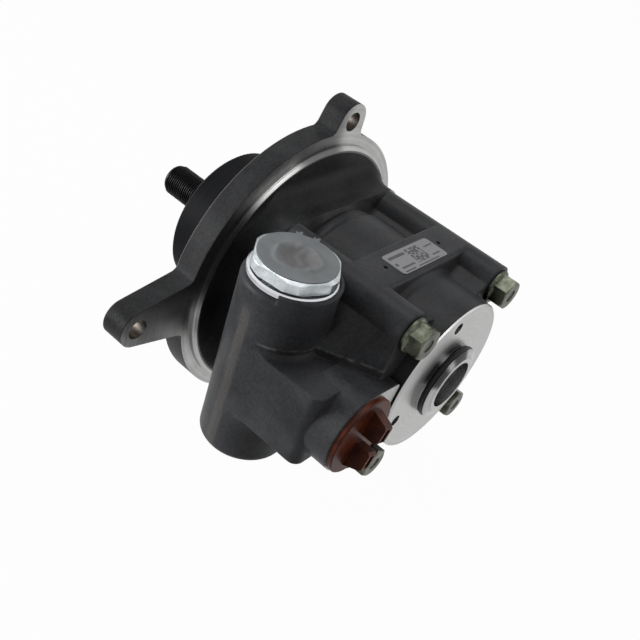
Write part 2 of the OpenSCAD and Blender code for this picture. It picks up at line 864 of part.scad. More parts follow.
module pressure_plate_ring() {
    cord_r = 1.15;
    color(rubber)
    x_turn() translate([cartridge_r - fit_gap / 2 - cord_r, (pressure_x + spring_x) / 2]) circle(cord_r);
}

// Conical disc spring between the pressure plate and the housing
module plate_spring() {
    in_r = 27;
    out_r = 36;
    sheet = 1.4;
    color(steel)
    x_turn() polygon([
        [in_r, spring_x], [in_r + 1, spring_x], [out_r, pocket_x - sheet], [out_r, pocket_x],
        [out_r - 1, pocket_x], [in_r, spring_x + sheet],
    ]);
}

module dowel_pins() {
    color(steel)
    for (side = [-1, 1]) x_rod(dowel_r, joint_x - 5.8, pressure_x + 3.8, side * dowel_reach);
}

module joint_ring() {
    color(rubber)
    x_turn() translate([(cartridge_r + barrel_r) / 2, joint_x + ring_cord / 2])
        circle(ring_cord / 2 - fit_gap / 2);
}

module rear_bush() {
    color("darkgoldenrod")
    x_tube(bush_r - fit_gap / 2, tail_r + running_gap, bush_x, bush_end);
}

// Hexagon flange bolts that hold the two housings together
module cover_bolts() {
    washer_t = 2;
    cone_h = 1.2;
    mark_depth = 0.6;
    mark_r = 3.6;
    hex_r = bolt_af / 2 / cos(30);
    color(olive)
    at_bolts() difference() {
        union() {
            x_rod(bolt_d / 2, joint_x - bolt_bite, seat_x + eps);
            x_turn() polygon([
                [0, seat_x], [bolt_flange_d / 2 - 0.4, seat_x], [bolt_flange_d / 2, seat_x + 0.4],
                [bolt_flange_d / 2, seat_x + washer_t], [bolt_af / 2, seat_x + washer_t + cone_h],
                [0, seat_x + washer_t + cone_h],
            ]);
            intersection() {
                translate([seat_x, 0, 0]) rotate([0, 90, 0])
                    cylinder(r = hex_r, h = bolt_head_h, $fn = hex_sides);
                x_turn() polygon([
                    [0, seat_x], [hex_r + 1, seat_x], [hex_r + 1, seat_x + bolt_head_h - 1.4],
                    [bolt_af / 2 - 0.3, seat_x + bolt_head_h], [0, seat_x + bolt_head_h],
                ]);
            }
        }
        x_rod(mark_r, seat_x + bolt_head_h - mark_depth, seat_x + bolt_head_h + eps);
    }
}

// Valve group
module valve_plug() {
    hex_r = plug_af / 2 / cos(30);
    turned_r = plug_af / 2 + 1.6;
    chamfer_r = plug_af / 2 - 0.3;
    dish_r = 11;
    color(zinc)
    at_valve() difference() {
        union() {
            rotate_extrude() polygon([
                [0, plug_nose], [6.5, plug_nose], [6.5, chamber_top - plug_depth],
                [plug_r - 1.5, chamber_top - plug_depth], [plug_r, chamber_top - plug_depth + 1.5],
                [plug_r, chamber_top], [plug_r, hex_z], [0, hex_z],
            ]);
            intersection() {
                translate([0, 0, hex_z]) rotate(plug_turn)
                    cylinder(r = hex_r, h = plug_hex_h, $fn = hex_sides);
                rotate_extrude() polygon([
                    [0, hex_z], [turned_r - 0.6, hex_z], [turned_r, hex_z + 0.6],
                    [turned_r, hex_top - 1], [chamfer_r, hex_top], [0, hex_top],
                ]);
            }
        }
        translate([0, 0, hex_top - 2.4]) cylinder(r1 = dish_r - 3, r2 = dish_r, h = 2.4 + eps);
    }
}

module valve_plug_washer() {
    color(zinc)
    at_valve() rotate_extrude() polygon([
        [plug_r + fit_gap, chamber_top], [washer_r - 0.5, chamber_top], [washer_r, chamber_top + 0.5],
        [washer_r, washer_top - 0.8], [washer_r - 0.8, washer_top], [plug_r + fit_gap, washer_top],
    ]);
}

// Thin seal disc on the plug, pressed into the dish at its middle, with two torn tabs
module plug_seal_disc() {
    disc_r = plug_af / 2 - 0.5;
    tab_reach = disc_r + 3.8;
    sheet = 0.5;
    dip = 1.5;
    dish_in = 6;
    dish_out = 9.5;
    color("lightgray")
    at_valve() {
        rotate_extrude() polygon([
            [0, hex_top - dip], [dish_in, hex_top - dip], [dish_out, hex_top], [disc_r, hex_top],
            [disc_r, hex_top + sheet], [dish_out - 0.2, hex_top + sheet],
            [dish_in - 0.2, hex_top - dip + sheet], [0, hex_top - dip + sheet],
        ]);
        for (angle = [107.6, 129.7])
            rotate(angle) translate([disc_r - 2, -1.6, hex_top])
                cube([tab_reach - disc_r + 2, 3.2, sheet]);
    }
}

module flow_spool() {
    groove_r = spool_r - 2.6;
    top_land = 16;
    foot_land = 20;
    groove_top = spool_top - top_land;
    groove_foot = spool_foot + foot_land;
    color(steel)
    at_valve() difference() {
        rotate_extrude() polygon([
            [0, spool_foot], [spool_r - 0.6, spool_foot], [spool_r, spool_foot + 0.6],
            [spool_r, groove_foot], [groove_r, groove_foot], [groove_r, groove_top],
            [spool_r, groove_top], [spool_r, spool_top - 4], [spool_r - 3, spool_top], [0, spool_top],
        ]);
        translate([0, 0, spool_foot - eps]) cylinder(r = relief_r, h = relief_top - spool_foot + eps);
        translate([0, 0, (groove_top + groove_foot) / 2]) rotate([0, 90, 0])
            cylinder(r = 1.5, h = 2 * spool_r, center = true);
        // Small grooves that spread the oil film
        for (z = [groove_foot - 5, groove_foot - 9, groove_top + 5])
            translate([0, 0, z]) rotate_extrude() translate([spool_r, 0]) circle(0.4);
    }
}

// Round wire wound from one height to another
module wire_spring(coil_r, wire_r, from, to, turns, steps) {
    sides = 8;
    rings = turns * steps;
    rise = (to - from - 2 * wire_r) / rings;
    points = [
        for (i = [0 : rings], j = [0 : sides - 1])
            let (turn = i * 360 / steps, roll = j * 360 / sides, r = coil_r + wire_r * cos(roll))
                [r * cos(turn), r * sin(turn), from + wire_r + i * rise + wire_r * sin(roll)]
    ];
    walls = [
        for (i = [0 : rings - 1], j = [0 : sides - 1])
            let (k = (j + 1) % sides)
                [i * sides + j, i * sides + k, (i + 1) * sides + k, (i + 1) * sides + j]
    ];
    polyhedron(points, concat(
        walls,
        [[for (j = [0 : sides - 1]) sides - 1 - j]],
        [[for (j = [0 : sides - 1]) rings * sides + j]]
    ));
}

module flow_spring() {
    wire_r = 1.1;
    color(steel)
    at_valve() wire_spring(relief_r + wire_r + 0.8, wire_r, valve_floor, spool_foot, 5, 18);
}

module relief_seat() {
    color(bright)
    at_valve() translate([0, 0, spool_foot]) difference() {
        cylinder(r = relief_r - fit_gap, h = relief_seat_l);
        translate([0, 0, -eps]) cylinder(r = relief_hole_r, h = relief_seat_l + 2 * eps);
    }
}

module relief_ball() {
    color(bright)
    at_valve() translate([0, 0, ball_z]) sphere(relief_ball_r);
}

module relief_guide() {
    color(steel)
    at_valve() difference() {
        rotate_extrude() polygon([
            [0, guide_z], [relief_r - 0.3, guide_z], [relief_r - 0.3, guide_top - 3],
            [2.4, guide_top - 3], [2.4, guide_top], [0, guide_top],
        ]);
        translate([0, 0, ball_z]) sphere(relief_ball_r + fit_gap);
    }
}

module relief_spring() {
    wire_r = 0.7;
    color(steel)
    at_valve() wire_spring(2.4 + wire_r + 0.5, wire_r, guide_top - 3, relief_top, 6, 14);
}

// Rear face and ports
module spigot_ring() {
    cord_r = ring_cord / 2 - fit_gap / 2;
    groove_r = spigot_d / 2 - ring_cord * 0.8;
    color(rubber)
    x_turn() translate([groove_r + cord_r + fit_gap / 2, (rear_x + spigot_x) / 2]) circle(cord_r);
}

// Transit plug with a hollow shank, a collar and a split grip across its middle
module transit_plug(shank_r, shank_l, collar_r, collar_t, lug_h) {
    wall = 2.2;
    lug_t = collar_r * 0.34;
    lug_gap = collar_r * 0.115;
    lug_root = collar_r * 0.75;
    lug_tip = collar_r * 0.61;
    edge = lug_h * 0.14;
    rib = lug_t * 0.22;
    difference() {
        translate([0, 0, -shank_l]) cylinder(r = shank_r, h = shank_l + eps);
        translate([0, 0, -shank_l - eps]) cylinder(r = shank_r - wall, h = shank_l);
    }
    rotate_extrude() polygon([
        [0, 0], [collar_r, 0], [collar_r, collar_t - 0.6], [collar_r - 0.6, collar_t], [0, collar_t],
    ]);
    for (turn = [0, 180])
        rotate(turn) difference() {
            translate([0, lug_t / 2, collar_t - eps]) rotate([90, 0, 0]) linear_extrude(lug_t) polygon([
                [lug_gap, 0], [lug_root, 0], [lug_tip, lug_h - edge], [lug_tip - edge, lug_h],
                [lug_gap + edge, lug_h], [lug_gap, lug_h - edge],
            ]);
            translate([lug_gap + rib, rib - lug_t / 2, collar_t + lug_h * 0.6])
                cube([lug_tip - lug_gap - 2 * rib, lug_t - 2 * rib, lug_h]);
        }
}

module side_port_plug() {
    color(brown)
    translate([port_x, valve_y, port_z]) rotate([90, 0, 90]) rotate(70.7)
        transit_plug(port_thread_r - fit_gap, side_shank_l, port_boss_r - 0.7, 3, side_grip_h);
}

module lower_port_plug() {
    color(brown)
    translate([low_port_x, 0, low_port_face]) rotate([180, 0, 0])
        transit_plug(low_port_r - fit_gap, low_shank_l, low_port_boss_r - 0.7, 2.4, low_grip_h);
}

module rating_label() {
    mid_x = joint_x + pad_back + pad_w / 2 + 1.3;
    color(bright)
    translate([mid_x, 0, pad_top]) linear_extrude(label_t)
        soft_rect([-label_w / 2, -label_l / 2], [label_w / 2, label_l / 2], 2);
}

front_housing();
rear_housing();
drive_shaft();
bearing_outer_ring();
bearing_inner_ring();
bearing_balls();
bearing_cage();
bearing_circlip();
shaft_seal();
seal_spring();
front_side_plate();
cam_ring();
rotor();
vanes();
rotor_circlips();
pressure_plate();
pressure_plate_ring();
plate_spring();
dowel_pins();
joint_ring();
rear_bush();
cover_bolts();
valve_plug();
valve_plug_washer();
plug_seal_disc();
flow_spool();
flow_spring();
relief_seat();
relief_ball();
relief_guide();
relief_spring();
spigot_ring();
side_port_plug();
lower_port_plug();
rating_label();
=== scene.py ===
"""Looks of a power steering pump: castings, turned faces, fasteners, plugs and a label.

The pieces give their sizes in millimetres, the studio in metres.
"""

import logging
import math
from dataclasses import dataclass, field
from enum import Enum
from typing import Callable, Optional, Sequence, Union

import bmesh
import bpy
from mathutils import Matrix, Vector


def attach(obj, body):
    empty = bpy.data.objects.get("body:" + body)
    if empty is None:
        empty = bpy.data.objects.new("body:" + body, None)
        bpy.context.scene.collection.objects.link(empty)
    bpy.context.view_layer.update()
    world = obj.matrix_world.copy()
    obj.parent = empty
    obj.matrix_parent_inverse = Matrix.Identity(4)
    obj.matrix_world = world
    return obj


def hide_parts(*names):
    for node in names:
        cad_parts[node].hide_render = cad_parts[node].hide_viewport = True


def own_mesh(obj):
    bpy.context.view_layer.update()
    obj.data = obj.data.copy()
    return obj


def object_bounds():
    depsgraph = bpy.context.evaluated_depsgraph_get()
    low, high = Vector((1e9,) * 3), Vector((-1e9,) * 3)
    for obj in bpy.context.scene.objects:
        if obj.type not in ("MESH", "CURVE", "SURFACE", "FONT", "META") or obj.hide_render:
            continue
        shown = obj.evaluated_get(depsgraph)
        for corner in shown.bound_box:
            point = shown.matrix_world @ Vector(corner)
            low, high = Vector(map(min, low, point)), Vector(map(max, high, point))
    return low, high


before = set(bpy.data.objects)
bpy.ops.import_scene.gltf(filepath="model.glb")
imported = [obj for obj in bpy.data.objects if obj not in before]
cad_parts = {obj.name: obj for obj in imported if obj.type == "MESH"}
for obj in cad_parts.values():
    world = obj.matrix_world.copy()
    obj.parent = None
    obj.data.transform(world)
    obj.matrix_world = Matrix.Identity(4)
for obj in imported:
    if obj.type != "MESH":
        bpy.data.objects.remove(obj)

CAD_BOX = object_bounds()
MM = 0.001
LOG = logging.getLogger("pump")

VALVE_AXIS = (60.5, -71.0)  # x and y of the upright valve, in millimetres
WHITE = (1.0, 1.0, 1.0, 1.0)
MERGE = 1e-6  # metres within which points count as one
FLUSH = 0.05  # millimetres within which a face lies in a plane
SQUARE = 0.99  # part of a normal along an axis from which a face is square to it
WALL = 0.2  # millimetres by which the flats of a hole's wall may be off its radius
SHARP = 28.0  # degrees from which an edge stays sharp
SHARP_HEX = 14.0  # the same on hexagons, which have shallow chamfers

Colour = tuple[float, float, float]
Pair = tuple[float, float]
Socket = bpy.types.NodeSocket
Shape = bmesh.types.BMesh
Value = Union["Signal", float]


class Axis(Enum):
    """Axis about which a face was turned."""

    X = 0
    Z = 2


class Body(Enum):
    """Bodies that the new pieces ride on."""

    HOUSING = "housing"
    SHAFT = "shaft"
    SPOOL = "spool"


class Skin(Enum):
    """What was done to a face of a casting."""

    CAST = 0
    TURNED = 1
    PILOT = 2
    BORED = 3
    MILLED = 4


class Signal:
    """A number that changes over a surface; its operators add Math nodes."""

    def __init__(self, board: "Board", socket: Socket) -> None:
        """Wrap one output socket of a board."""
        self.board = board
        self.socket = socket

    def __add__(self, other: Value) -> "Signal":
        """Sum."""
        return self.board.math("ADD", self, other)

    def __radd__(self, other: Value) -> "Signal":
        """Sum with a number in front."""
        return self.board.math("ADD", other, self)

    def __sub__(self, other: Value) -> "Signal":
        """Difference."""
        return self.board.math("SUBTRACT", self, other)

    def __rsub__(self, other: Value) -> "Signal":
        """Difference with a number in front."""
        return self.board.math("SUBTRACT", other, self)

    def __mul__(self, other: Value) -> "Signal":
        """Product."""
        return self.board.math("MULTIPLY", self, other)

    def __rmul__(self, other: Value) -> "Signal":
        """Product with a number in front."""
        return self.board.math("MULTIPLY", other, self)

    def __truediv__(self, other: Value) -> "Signal":
        """Quotient."""
        return self.board.math("DIVIDE", self, other)

    def __pow__(self, other: Value) -> "Signal":
        """Power."""
        return self.board.math("POWER", self, other)

    def __abs__(self) -> "Signal":
        """Size without sign."""
        return self.board.math("ABSOLUTE", self, 0.0)

    def __gt__(self, other: Value) -> "Signal":
        """One where it is greater, else nought."""
        return self.board.math("GREATER_THAN", self, other)

    def __lt__(self, other: Value) -> "Signal":
        """One where it is less, else nought."""
        return self.board.math("LESS_THAN", self, other)

    def most(self, other: Value) -> "Signal":
        """The greater of two values."""
        return self.board.math("MAXIMUM", self, other)

    def least(self, other: Value) -> "Signal":
        """The lesser of two values."""
        return self.board.math("MINIMUM", self, other)

    def rise(self, low: float, high: float) -> "Signal":
        """Smooth step, which falls where low is above high.

        Args:
            low: Value at which it is nought.
            high: Value at which it is one.

        Returns:
            The step.
        """
        settings = {"interpolation_type": "SMOOTHSTEP"}
        inputs = {"Value": self, "From Min": low, "From Max": high}
        return self.board.number("ShaderNodeMapRange", settings, inputs)


class Board:
    """The node tree of one material or of the surroundings."""

    def __init__(self, name: str, world: bool = False) -> None:
        """Start an empty tree.

        Args:
            name: Name of its owner.
            world: Whether its owner is a world and not a material.
        """
        self.owner = (bpy.data.worlds if world else bpy.data.materials).new(name)
        self.owner.use_nodes = True
        self.tree = self.owner.node_tree
        self.tree.nodes.clear()

    def node(self, kind: str, settings: dict, inputs: dict) -> bpy.types.Node:
        """Add a node.

        Args:
            kind: Type of the node.
            settings: Properties that are set first.
            inputs: Values or links by socket name or number.

        Returns:
            The new node.
        """
        made = self.tree.nodes.new(kind)
        for key, value in settings.items():
            setattr(made, key, value)
        for key, value in inputs.items():
            value = value.socket if isinstance(value, Signal) else value
            if isinstance(value, Socket):
                self.tree.links.new(value, made.inputs[key])
            else:
                made.inputs[key].default_value = value
        return made

    def number(self, kind: str, settings: dict, inputs: dict) -> Signal:
        """Add a node and wrap its first output."""
        return Signal(self, self.node(kind, settings, inputs).outputs[0])

    def math(self, operation: str, first: Value, second: Value) -> Signal:
        """Add a Math node on two values."""
        return self.number("ShaderNodeMath", {"operation": operation}, {0: first, 1: second})

    def vector(self, operation: str, inputs: dict, output: int = 0) -> Socket:
        """Add a Vector Math node and give its output."""
        return self.node("ShaderNodeVectorMath", {"operation": operation}, inputs).outputs[output]

    def place(self) -> Socket:
        """Object coordinates in millimetres."""
        spot = self.node("ShaderNodeTexCoord", {}, {}).outputs["Object"]
        return self.vector("SCALE", {0: spot, "Scale": 1.0 / MM})

    def split(self, vector: Socket) -> list[Signal]:
        """The three parts of a vector."""
        parts = self.node("ShaderNodeSeparateXYZ", {}, {0: vector})
        return [Signal(self, out) for out in parts.outputs]

    def noise(self, place: Socket, per_mm: float, detail: float) -> Signal:
        """Cloudy noise around a half.

        Args:
            place: Coordinates in millimetres.
            per_mm: Spots in a millimetre.
            detail: Finer layers.

        Returns:
            The noise value.
        """
        inputs = {"Vector": place, "Scale": per_mm, "Detail": detail}
        return self.number("ShaderNodeTexNoise", {}, inputs)

    def rings(self, track: Signal, per_step: float, detail: float) -> Signal:
        """Noise along one line, which makes rings of a track.

        Args:
            track: Place along the line.
            per_step: Spots in a step of the track.
            detail: Finer layers.

        Returns:
            The noise value.
        """
        inputs = {"W": track, "Scale": per_step, "Detail": detail}
        return self.number("ShaderNodeTexNoise", {"noise_dimensions": "1D"}, inputs)

    def bend(self, soft: Socket) -> Signal:
        """How far a softened normal leans away from the true one."""
        true = self.node("ShaderNodeNewGeometry", {}, {}).outputs["True Normal"]
        return 1.0 - Signal(self, self.vector("DOT_PRODUCT", {0: soft, 1: true}, 1))

    def seen(self) -> Signal:
        """Mask of the rays that look straight at a thing or at its image.

        Returns:
            One for the camera, gloss and glass, else nought.
        """
        path = self.node("ShaderNodeLightPath", {}, {}).outputs
        kinds = ("Is Camera Ray", "Is Glossy Ray", "Is Transmission Ray")
        camera, gloss, glass = [Signal(self, path[kind]) for kind in kinds]
        return camera.most(gloss).most(glass)

    def blend(
        self, factor: Value, low: Union[Colour, Socket], high: Union[Colour, Socket]
    ) -> Socket:
        """Mix two colours.

        Args:
            factor: Share of the second colour.
            low: First colour.
            high: Second colour.

        Returns:
            Socket of the mixed colour.
        """
        low = (*low, 1.0) if isinstance(low, tuple) else low
        high = (*high, 1.0) if isinstance(high, tuple) else high
        inputs = {0: factor, 6: low, 7: high}
        return self.node("ShaderNodeMix", {"data_type": "RGBA"}, inputs).outputs[2]

    def soft_edge(self, radius_mm: float) -> Socket:
        """Normal that rounds the edges of a shape."""
        return self.node("ShaderNodeBevel", {"samples": 6}, {"Radius": radius_mm * MM}).outputs[0]

    def bump(
        self, height: Signal, strength: float, depth_mm: float, normal: Optional[Socket] = None
    ) -> Socket:
        """Normal of a fine relief.

        Args:
            height: Height of the relief.
            strength: Share of the relief that shows.
            depth_mm: Depth of the relief.
            normal: Normal that the relief lies on.

        Returns:
            Socket of the normal.
        """
        inputs = {"Height": height, "Strength": strength, "Distance": depth_mm * MM}
        if normal is not None:
            inputs["Normal"] = normal
        return self.node("ShaderNodeBump", {}, inputs).outputs[0]

    def skin(self, inputs: dict) -> bpy.types.Material:
        """Close the material with a principled shader.

        Args:
            inputs: Values or links of the shader's sockets.

        Returns:
            The finished material.
        """
        inputs = {
            key: (*value, 1.0) if isinstance(value, tuple) and key.endswith("Color") else value
            for key, value in inputs.items()
        }
        shader = self.node("ShaderNodeBsdfPrincipled", {}, inputs)
        self.node("ShaderNodeOutputMaterial", {}, {"Surface": shader.outputs[0]})
        return self.owner


@dataclass(frozen=True)
class CastIron:
    """Dark iron as it leaves the mould, with grain, soft edges and traces of the parting line."""

    dark: Colour = (0.0135, 0.0141, 0.0155)
    light: Colour = (0.0455, 0.0466, 0.0495)
    worn: Colour = (0.085, 0.084, 0.082)
    ground: Colour = (0.102, 0.095, 0.089)
    bare: Colour = (0.11, 0.11, 0.108)
    flash: Colour = (0.15, 0.149, 0.145)
    grain_per_mm: float = 1.5
    patch_per_mm: float = 0.045
    edge_mm: float = 1.2
    gloss: float = 0.12
    strip_x: Optional[float] = None
    strip_w: Pair = (4.2, 1.6)
    strip_y: Pair = (-88.0, -92.0)
    strip_z: Pair = (40.0, 32.0)
    seam_z: Optional[float] = None
    seam_w: Pair = (1.0, 0.35)
    seam_x: Pair = (66.0, 72.0)
    seam_y: Pair = (-50.0, -52.0)
    faced_r: Optional[float] = None
    faced_x: Pair = (13.9, 17.3)

    def strip(self, board: Board, place: Socket, grain: Signal) -> Signal:
        """Mask of the parting line that was ground off the valve chamber.

        Args:
            board: Node tree of the material.
            place: Coordinates in millimetres.
            grain: Fine noise that frays the mask.

        Returns:
            One on the ground strip, else nought.
        """
        x, y, z = board.split(place)
        wander = (board.noise(place, per_mm=0.09, detail=3.0) - 0.5) * 3.0
        near = abs(x - self.strip_x + wander).rise(*self.strip_w)
        stretch = board.vector("MULTIPLY", {0: place, 1: (1.6, 1.0, 0.12)})
        frayed = (board.noise(stretch, per_mm=1.0, detail=3.0) + grain - 0.2).least(1.0)
        return near * y.rise(*self.strip_y) * z.rise(*self.strip_z) * frayed

    def seam(self, board: Board, place: Socket) -> Signal:
        """Mask of the thin flash along the foot of the web.

        Args:
            board: Node tree of the material.
            place: Coordinates in millimetres.

        Returns:
            One on the flash, else nought.
        """
        x, y, z = board.split(place)
        broken = board.noise(place, per_mm=0.22, detail=4.0)
        thin = abs(z - self.seam_z + (broken - 0.5) * 2.0).rise(*self.seam_w)
        return thin * x.rise(*self.seam_x) * y.rise(*self.seam_y) * broken.rise(0.38, 0.62)

    def faced(self, board: Board, place: Socket) -> Signal:
        """Mask of the band that was turned bright round the bell.

        Args:
            board: Node tree of the material.
            place: Coordinates in millimetres.

        Returns:
            One on the band, else nought.
        """
        x, y, z = board.split(place)
        reach = (y * y + z * z) ** 0.5
        return (reach > self.faced_r) * (x < self.faced_x[1]) * (x > self.faced_x[0])

    def make(self, name: str) -> bpy.types.Material:
        """Build the material of this finish.

        Args:
            name: Name of the material.

        Returns:
            The new material.
        """
        board = Board(name)
        place = board.place()
        patch = board.noise(place, per_mm=self.patch_per_mm, detail=5.0)
        grain = board.noise(place, per_mm=self.grain_per_mm, detail=3.0)
        pits = board.noise(place, per_mm=0.5, detail=2.0)
        soft = board.soft_edge(self.edge_mm)
        bend = board.bend(soft)
        shade = (patch - 0.5) * 1.2 + (grain - 0.5) * 0.75 + (pits - 0.5) * 0.4
        colour = board.blend(shade.rise(-0.45, 0.4), self.dark, self.light)
        colour = board.blend((bend * 1.4 * grain).least(0.4), colour, self.worn)
        height = grain * 0.5 + pits
        rough = 0.34 + 0.22 * grain
        metal = 0.0
        if self.strip_x is not None:
            colour = board.blend(self.strip(board, place, grain) * 0.52, colour, self.ground)
        if self.seam_z is not None:
            flash = self.seam(board, place)
            colour = board.blend(flash * 0.8, colour, self.flash)
            height = height + flash * 2.5
        if self.faced_r is not None:
            metal = self.faced(board, place)
            colour = board.blend(metal, colour, self.bare)
        return board.skin(
            {
                "Base Color": colour,
                "Metallic": metal,
                "Roughness": rough,
                "Specular IOR Level": self.gloss,
                "Normal": board.bump(height, strength=0.4, depth_mm=0.3, normal=soft),
            }
        )


@dataclass(frozen=True)
class ShadeSector:
    """Part of a turned face with painted shade, a dark reflection painted into its colour, with its
    angles in degrees.
    """

    angle: float
    spread: float
    depth: float


@dataclass(frozen=True)
class TurnedMetal:
    """Metal with fine tool marks that run round an axis, and painted shade in the sectors given."""

    axis: Axis = Axis.X
    centre: Pair = (0.0, 0.0)
    dark: Colour = (0.25, 0.25, 0.247)
    light: Colour = (0.44, 0.44, 0.435)
    marks_per_mm: float = 9.0
    tilt: float = 0.55
    roughness: float = 0.26
    metallic: float = 1.0
    gloss: float = 0.5
    dull: tuple[ShadeSector, ...] = ()
    dull_core: float = 0.4  # share of the spread that has the full painted shade
    # colour of the painted shade in the sectors
    shade_colour: Colour = (0.02, 0.0202, 0.021)

    def shade_share(self, across: Signal, up: Signal, reach: Signal) -> Signal:
        """Share of painted shade in the sectors of a face.

        Args:
            across: First distance from the axis.
            up: Second distance from the axis.
            reach: Distance from the axis.

        Returns:
            Nought where the face is bright.
        """
        shares = []
        for sector in self.dull:
            turn, half = math.radians(sector.angle), math.radians(sector.spread)
            facing = (across * math.cos(turn) + up * math.sin(turn)) / reach
            fan = facing.rise(math.cos(half), math.cos(self.dull_core * half))
            shares.append(fan * sector.depth)
        return sum(shares)

    def make(self, name: str) -> bpy.types.Material:
        """Build the material of this finish.

        Args:
            name: Name of the material.

        Returns:
            The new material.
        """
        board = Board(name)
        place = board.place()
        parts = board.split(place)
        along = parts.pop(self.axis.value)
        across, up = parts[0] - self.centre[0], parts[1] - self.centre[1]
        reach = (across * across + up * up) ** 0.5
        track = (reach + along) * self.marks_per_mm
        marks = board.rings(track, per_step=1.0, detail=3.0)
        bands = board.rings(track, per_step=0.06, detail=2.0)
        haze = board.noise(place, per_mm=0.09, detail=4.0)
        ring = [0.0, 0.0 - up, across] if self.axis is Axis.X else [0.0 - up, across, 0.0]
        round_way = board.node("ShaderNodeCombineXYZ", {}, dict(enumerate(ring))).outputs[0]
        round_way = board.vector("NORMALIZE", {0: round_way})
        flat = board.node("ShaderNodeTexCoord", {}, {}).outputs["Normal"]
        lean = board.vector("CROSS_PRODUCT", {0: flat, 1: round_way})
        lean = board.vector("SCALE", {0: lean, "Scale": (marks - 0.5) * (2.0 * self.tilt)})
        bent = board.vector("NORMALIZE", {0: board.vector("ADD", {0: flat, 1: lean})})
        settings = {"vector_type": "NORMAL", "convert_from": "OBJECT", "convert_to": "WORLD"}
        normal = board.node("ShaderNodeVectorTransform", settings, {0: bent}).outputs[0]
        shade = (marks * 0.45 + bands * 0.3 + haze * 0.35).rise(0.3, 0.8)
        colour = board.blend(shade, self.dark, self.light)
        metal = self.metallic
        # painted shade: the sectors turn dark and lose their metal, standing in for dark
        # reflections
        if self.dull:
            shaded = self.shade_share(across, up, reach)
            colour = board.blend(shaded, colour, self.shade_colour)
            metal = (1.0 - shaded) * self.metallic
        return board.skin(
            {
                "Base Color": colour,
                "Metallic": metal,
                "Roughness": self.roughness + 0.12 * haze,
                "Specular IOR Level": self.gloss,
                "Normal": normal,
            }
        )


@dataclass(frozen=True)
class Plating:
    """Thin plated layer with cloudy tints and soft edges."""

    dark: Colour = (0.36, 0.39, 0.405)
    light: Colour = (0.68, 0.725, 0.745)
    tint: Colour = (0.42, 0.46, 0.445)
    roughness: float = 0.32
    edge_mm: float = 0.5

    def make(self, name: str) -> bpy.types.Material:
        """Build the material of this finish.

        Args:
            name: Name of the material.

        Returns:
            The new material.
        """
        board = Board(name)
        place = board.place()
        cloud = board.noise(place, per_mm=0.16, detail=4.0)
        fine = board.noise(place, per_mm=2.2, detail=3.0)
        soft = board.soft_edge(self.edge_mm)
        plain = board.blend((cloud * 0.7 + fine * 0.4).rise(0.3, 0.8), self.dark, self.light)
        hue = board.noise(place, per_mm=0.33, detail=2.0).rise(0.45, 0.7)
        return board.skin(
            {
                "Base Color": board.blend(hue * 0.6, plain, self.tint),
                "Metallic": 1.0,
                "Roughness": self.roughness + 0.14 * fine,
                "Normal": board.bump(fine, strength=0.12, depth_mm=0.08, normal=soft),
            }
        )


@dataclass(frozen=True)
class Rubber:
    """Oily black rubber."""

    dark: Colour = (0.006, 0.006, 0.0065)
    light: Colour = (0.016, 0.016, 0.017)

    def make(self, name: str) -> bpy.types.Material:
        """Build the material of this finish.

        Args:
            name: Name of the material.

        Returns:
            The new material.
        """
        board = Board(name)
        place = board.place()
        fine = board.noise(place, per_mm=3.0, detail=3.0)
        film = board.noise(place, per_mm=0.2, detail=3.0)
        return board.skin(
            {
                "Base Color": board.blend(film, self.dark, self.light),
                "Roughness": 0.32 + 0.3 * film,
                "Specular IOR Level": 0.2,
                "Normal": board.bump(fine, strength=0.15, depth_mm=0.06),
            }
        )


@dataclass(frozen=True)
class MouldedPlastic:
    """Brown moulded plastic with flow lines."""

    dark: Colour = (0.026, 0.0052, 0.0022)
    light: Colour = (0.082, 0.0172, 0.0062)
    edge: Colour = (0.19, 0.058, 0.028)
    roughness: float = 0.34

    def make(self, name: str) -> bpy.types.Material:
        """Build the material of this finish.

        Args:
            name: Name of the material.

        Returns:
            The new material.
        """
        board = Board(name)
        place = board.place()
        flow = board.noise(place, per_mm=0.14, detail=3.0)
        fine = board.noise(place, per_mm=2.5, detail=2.0)
        soft = board.soft_edge(0.6)
        bend = board.bend(soft)
        plain = board.blend(flow.rise(0.3, 0.7), self.dark, self.light)
        return board.skin(
            {
                "Base Color": board.blend((bend * 3.0).least(0.6), plain, self.edge),
                "Roughness": self.roughness + 0.15 * flow,
                "Specular IOR Level": 0.1,
                "Normal": board.bump(fine, strength=0.06, depth_mm=0.05, normal=soft),
            }
        )


@dataclass(frozen=True)
class SealFilm:
    """Matt grey film, thinner and browner over the hollow in its middle."""

    centre: Pair = VALVE_AXIS
    dark: Colour = (0.145, 0.155, 0.161)
    light: Colour = (0.195, 0.206, 0.213)
    middle: Colour = (0.132, 0.128, 0.129)
    middle_r: Pair = (12.5, 6.5)

    def make(self, name: str) -> bpy.types.Material:
        """Build the material of this finish.

        Args:
            name: Name of the material.

        Returns:
            The new material.
        """
        board = Board(name)
        place = board.place()
        x, y, _ = board.split(place)
        across, up = x - self.centre[0], y - self.centre[1]
        reach = (across * across + up * up) ** 0.5
        cloud = board.noise(place, per_mm=0.10, detail=3.0)
        fine = board.noise(place, per_mm=3.0, detail=2.0)
        frayed = reach + (board.noise(place, per_mm=0.3, detail=2.0) - 0.5) * 4.0
        outer = board.blend((cloud * 0.8 + fine * 0.3).rise(0.3, 0.8), self.dark, self.light)
        return board.skin(
            {
                "Base Color": board.blend(frayed.rise(*self.middle_r) * 0.85, outer, self.middle),
                "Roughness": 0.42 + 0.2 * fine,
                "Specular IOR Level": 0.25,
                "Normal": board.bump(cloud * 0.6 + fine * 0.06, strength=0.3, depth_mm=0.4),
            }
        )


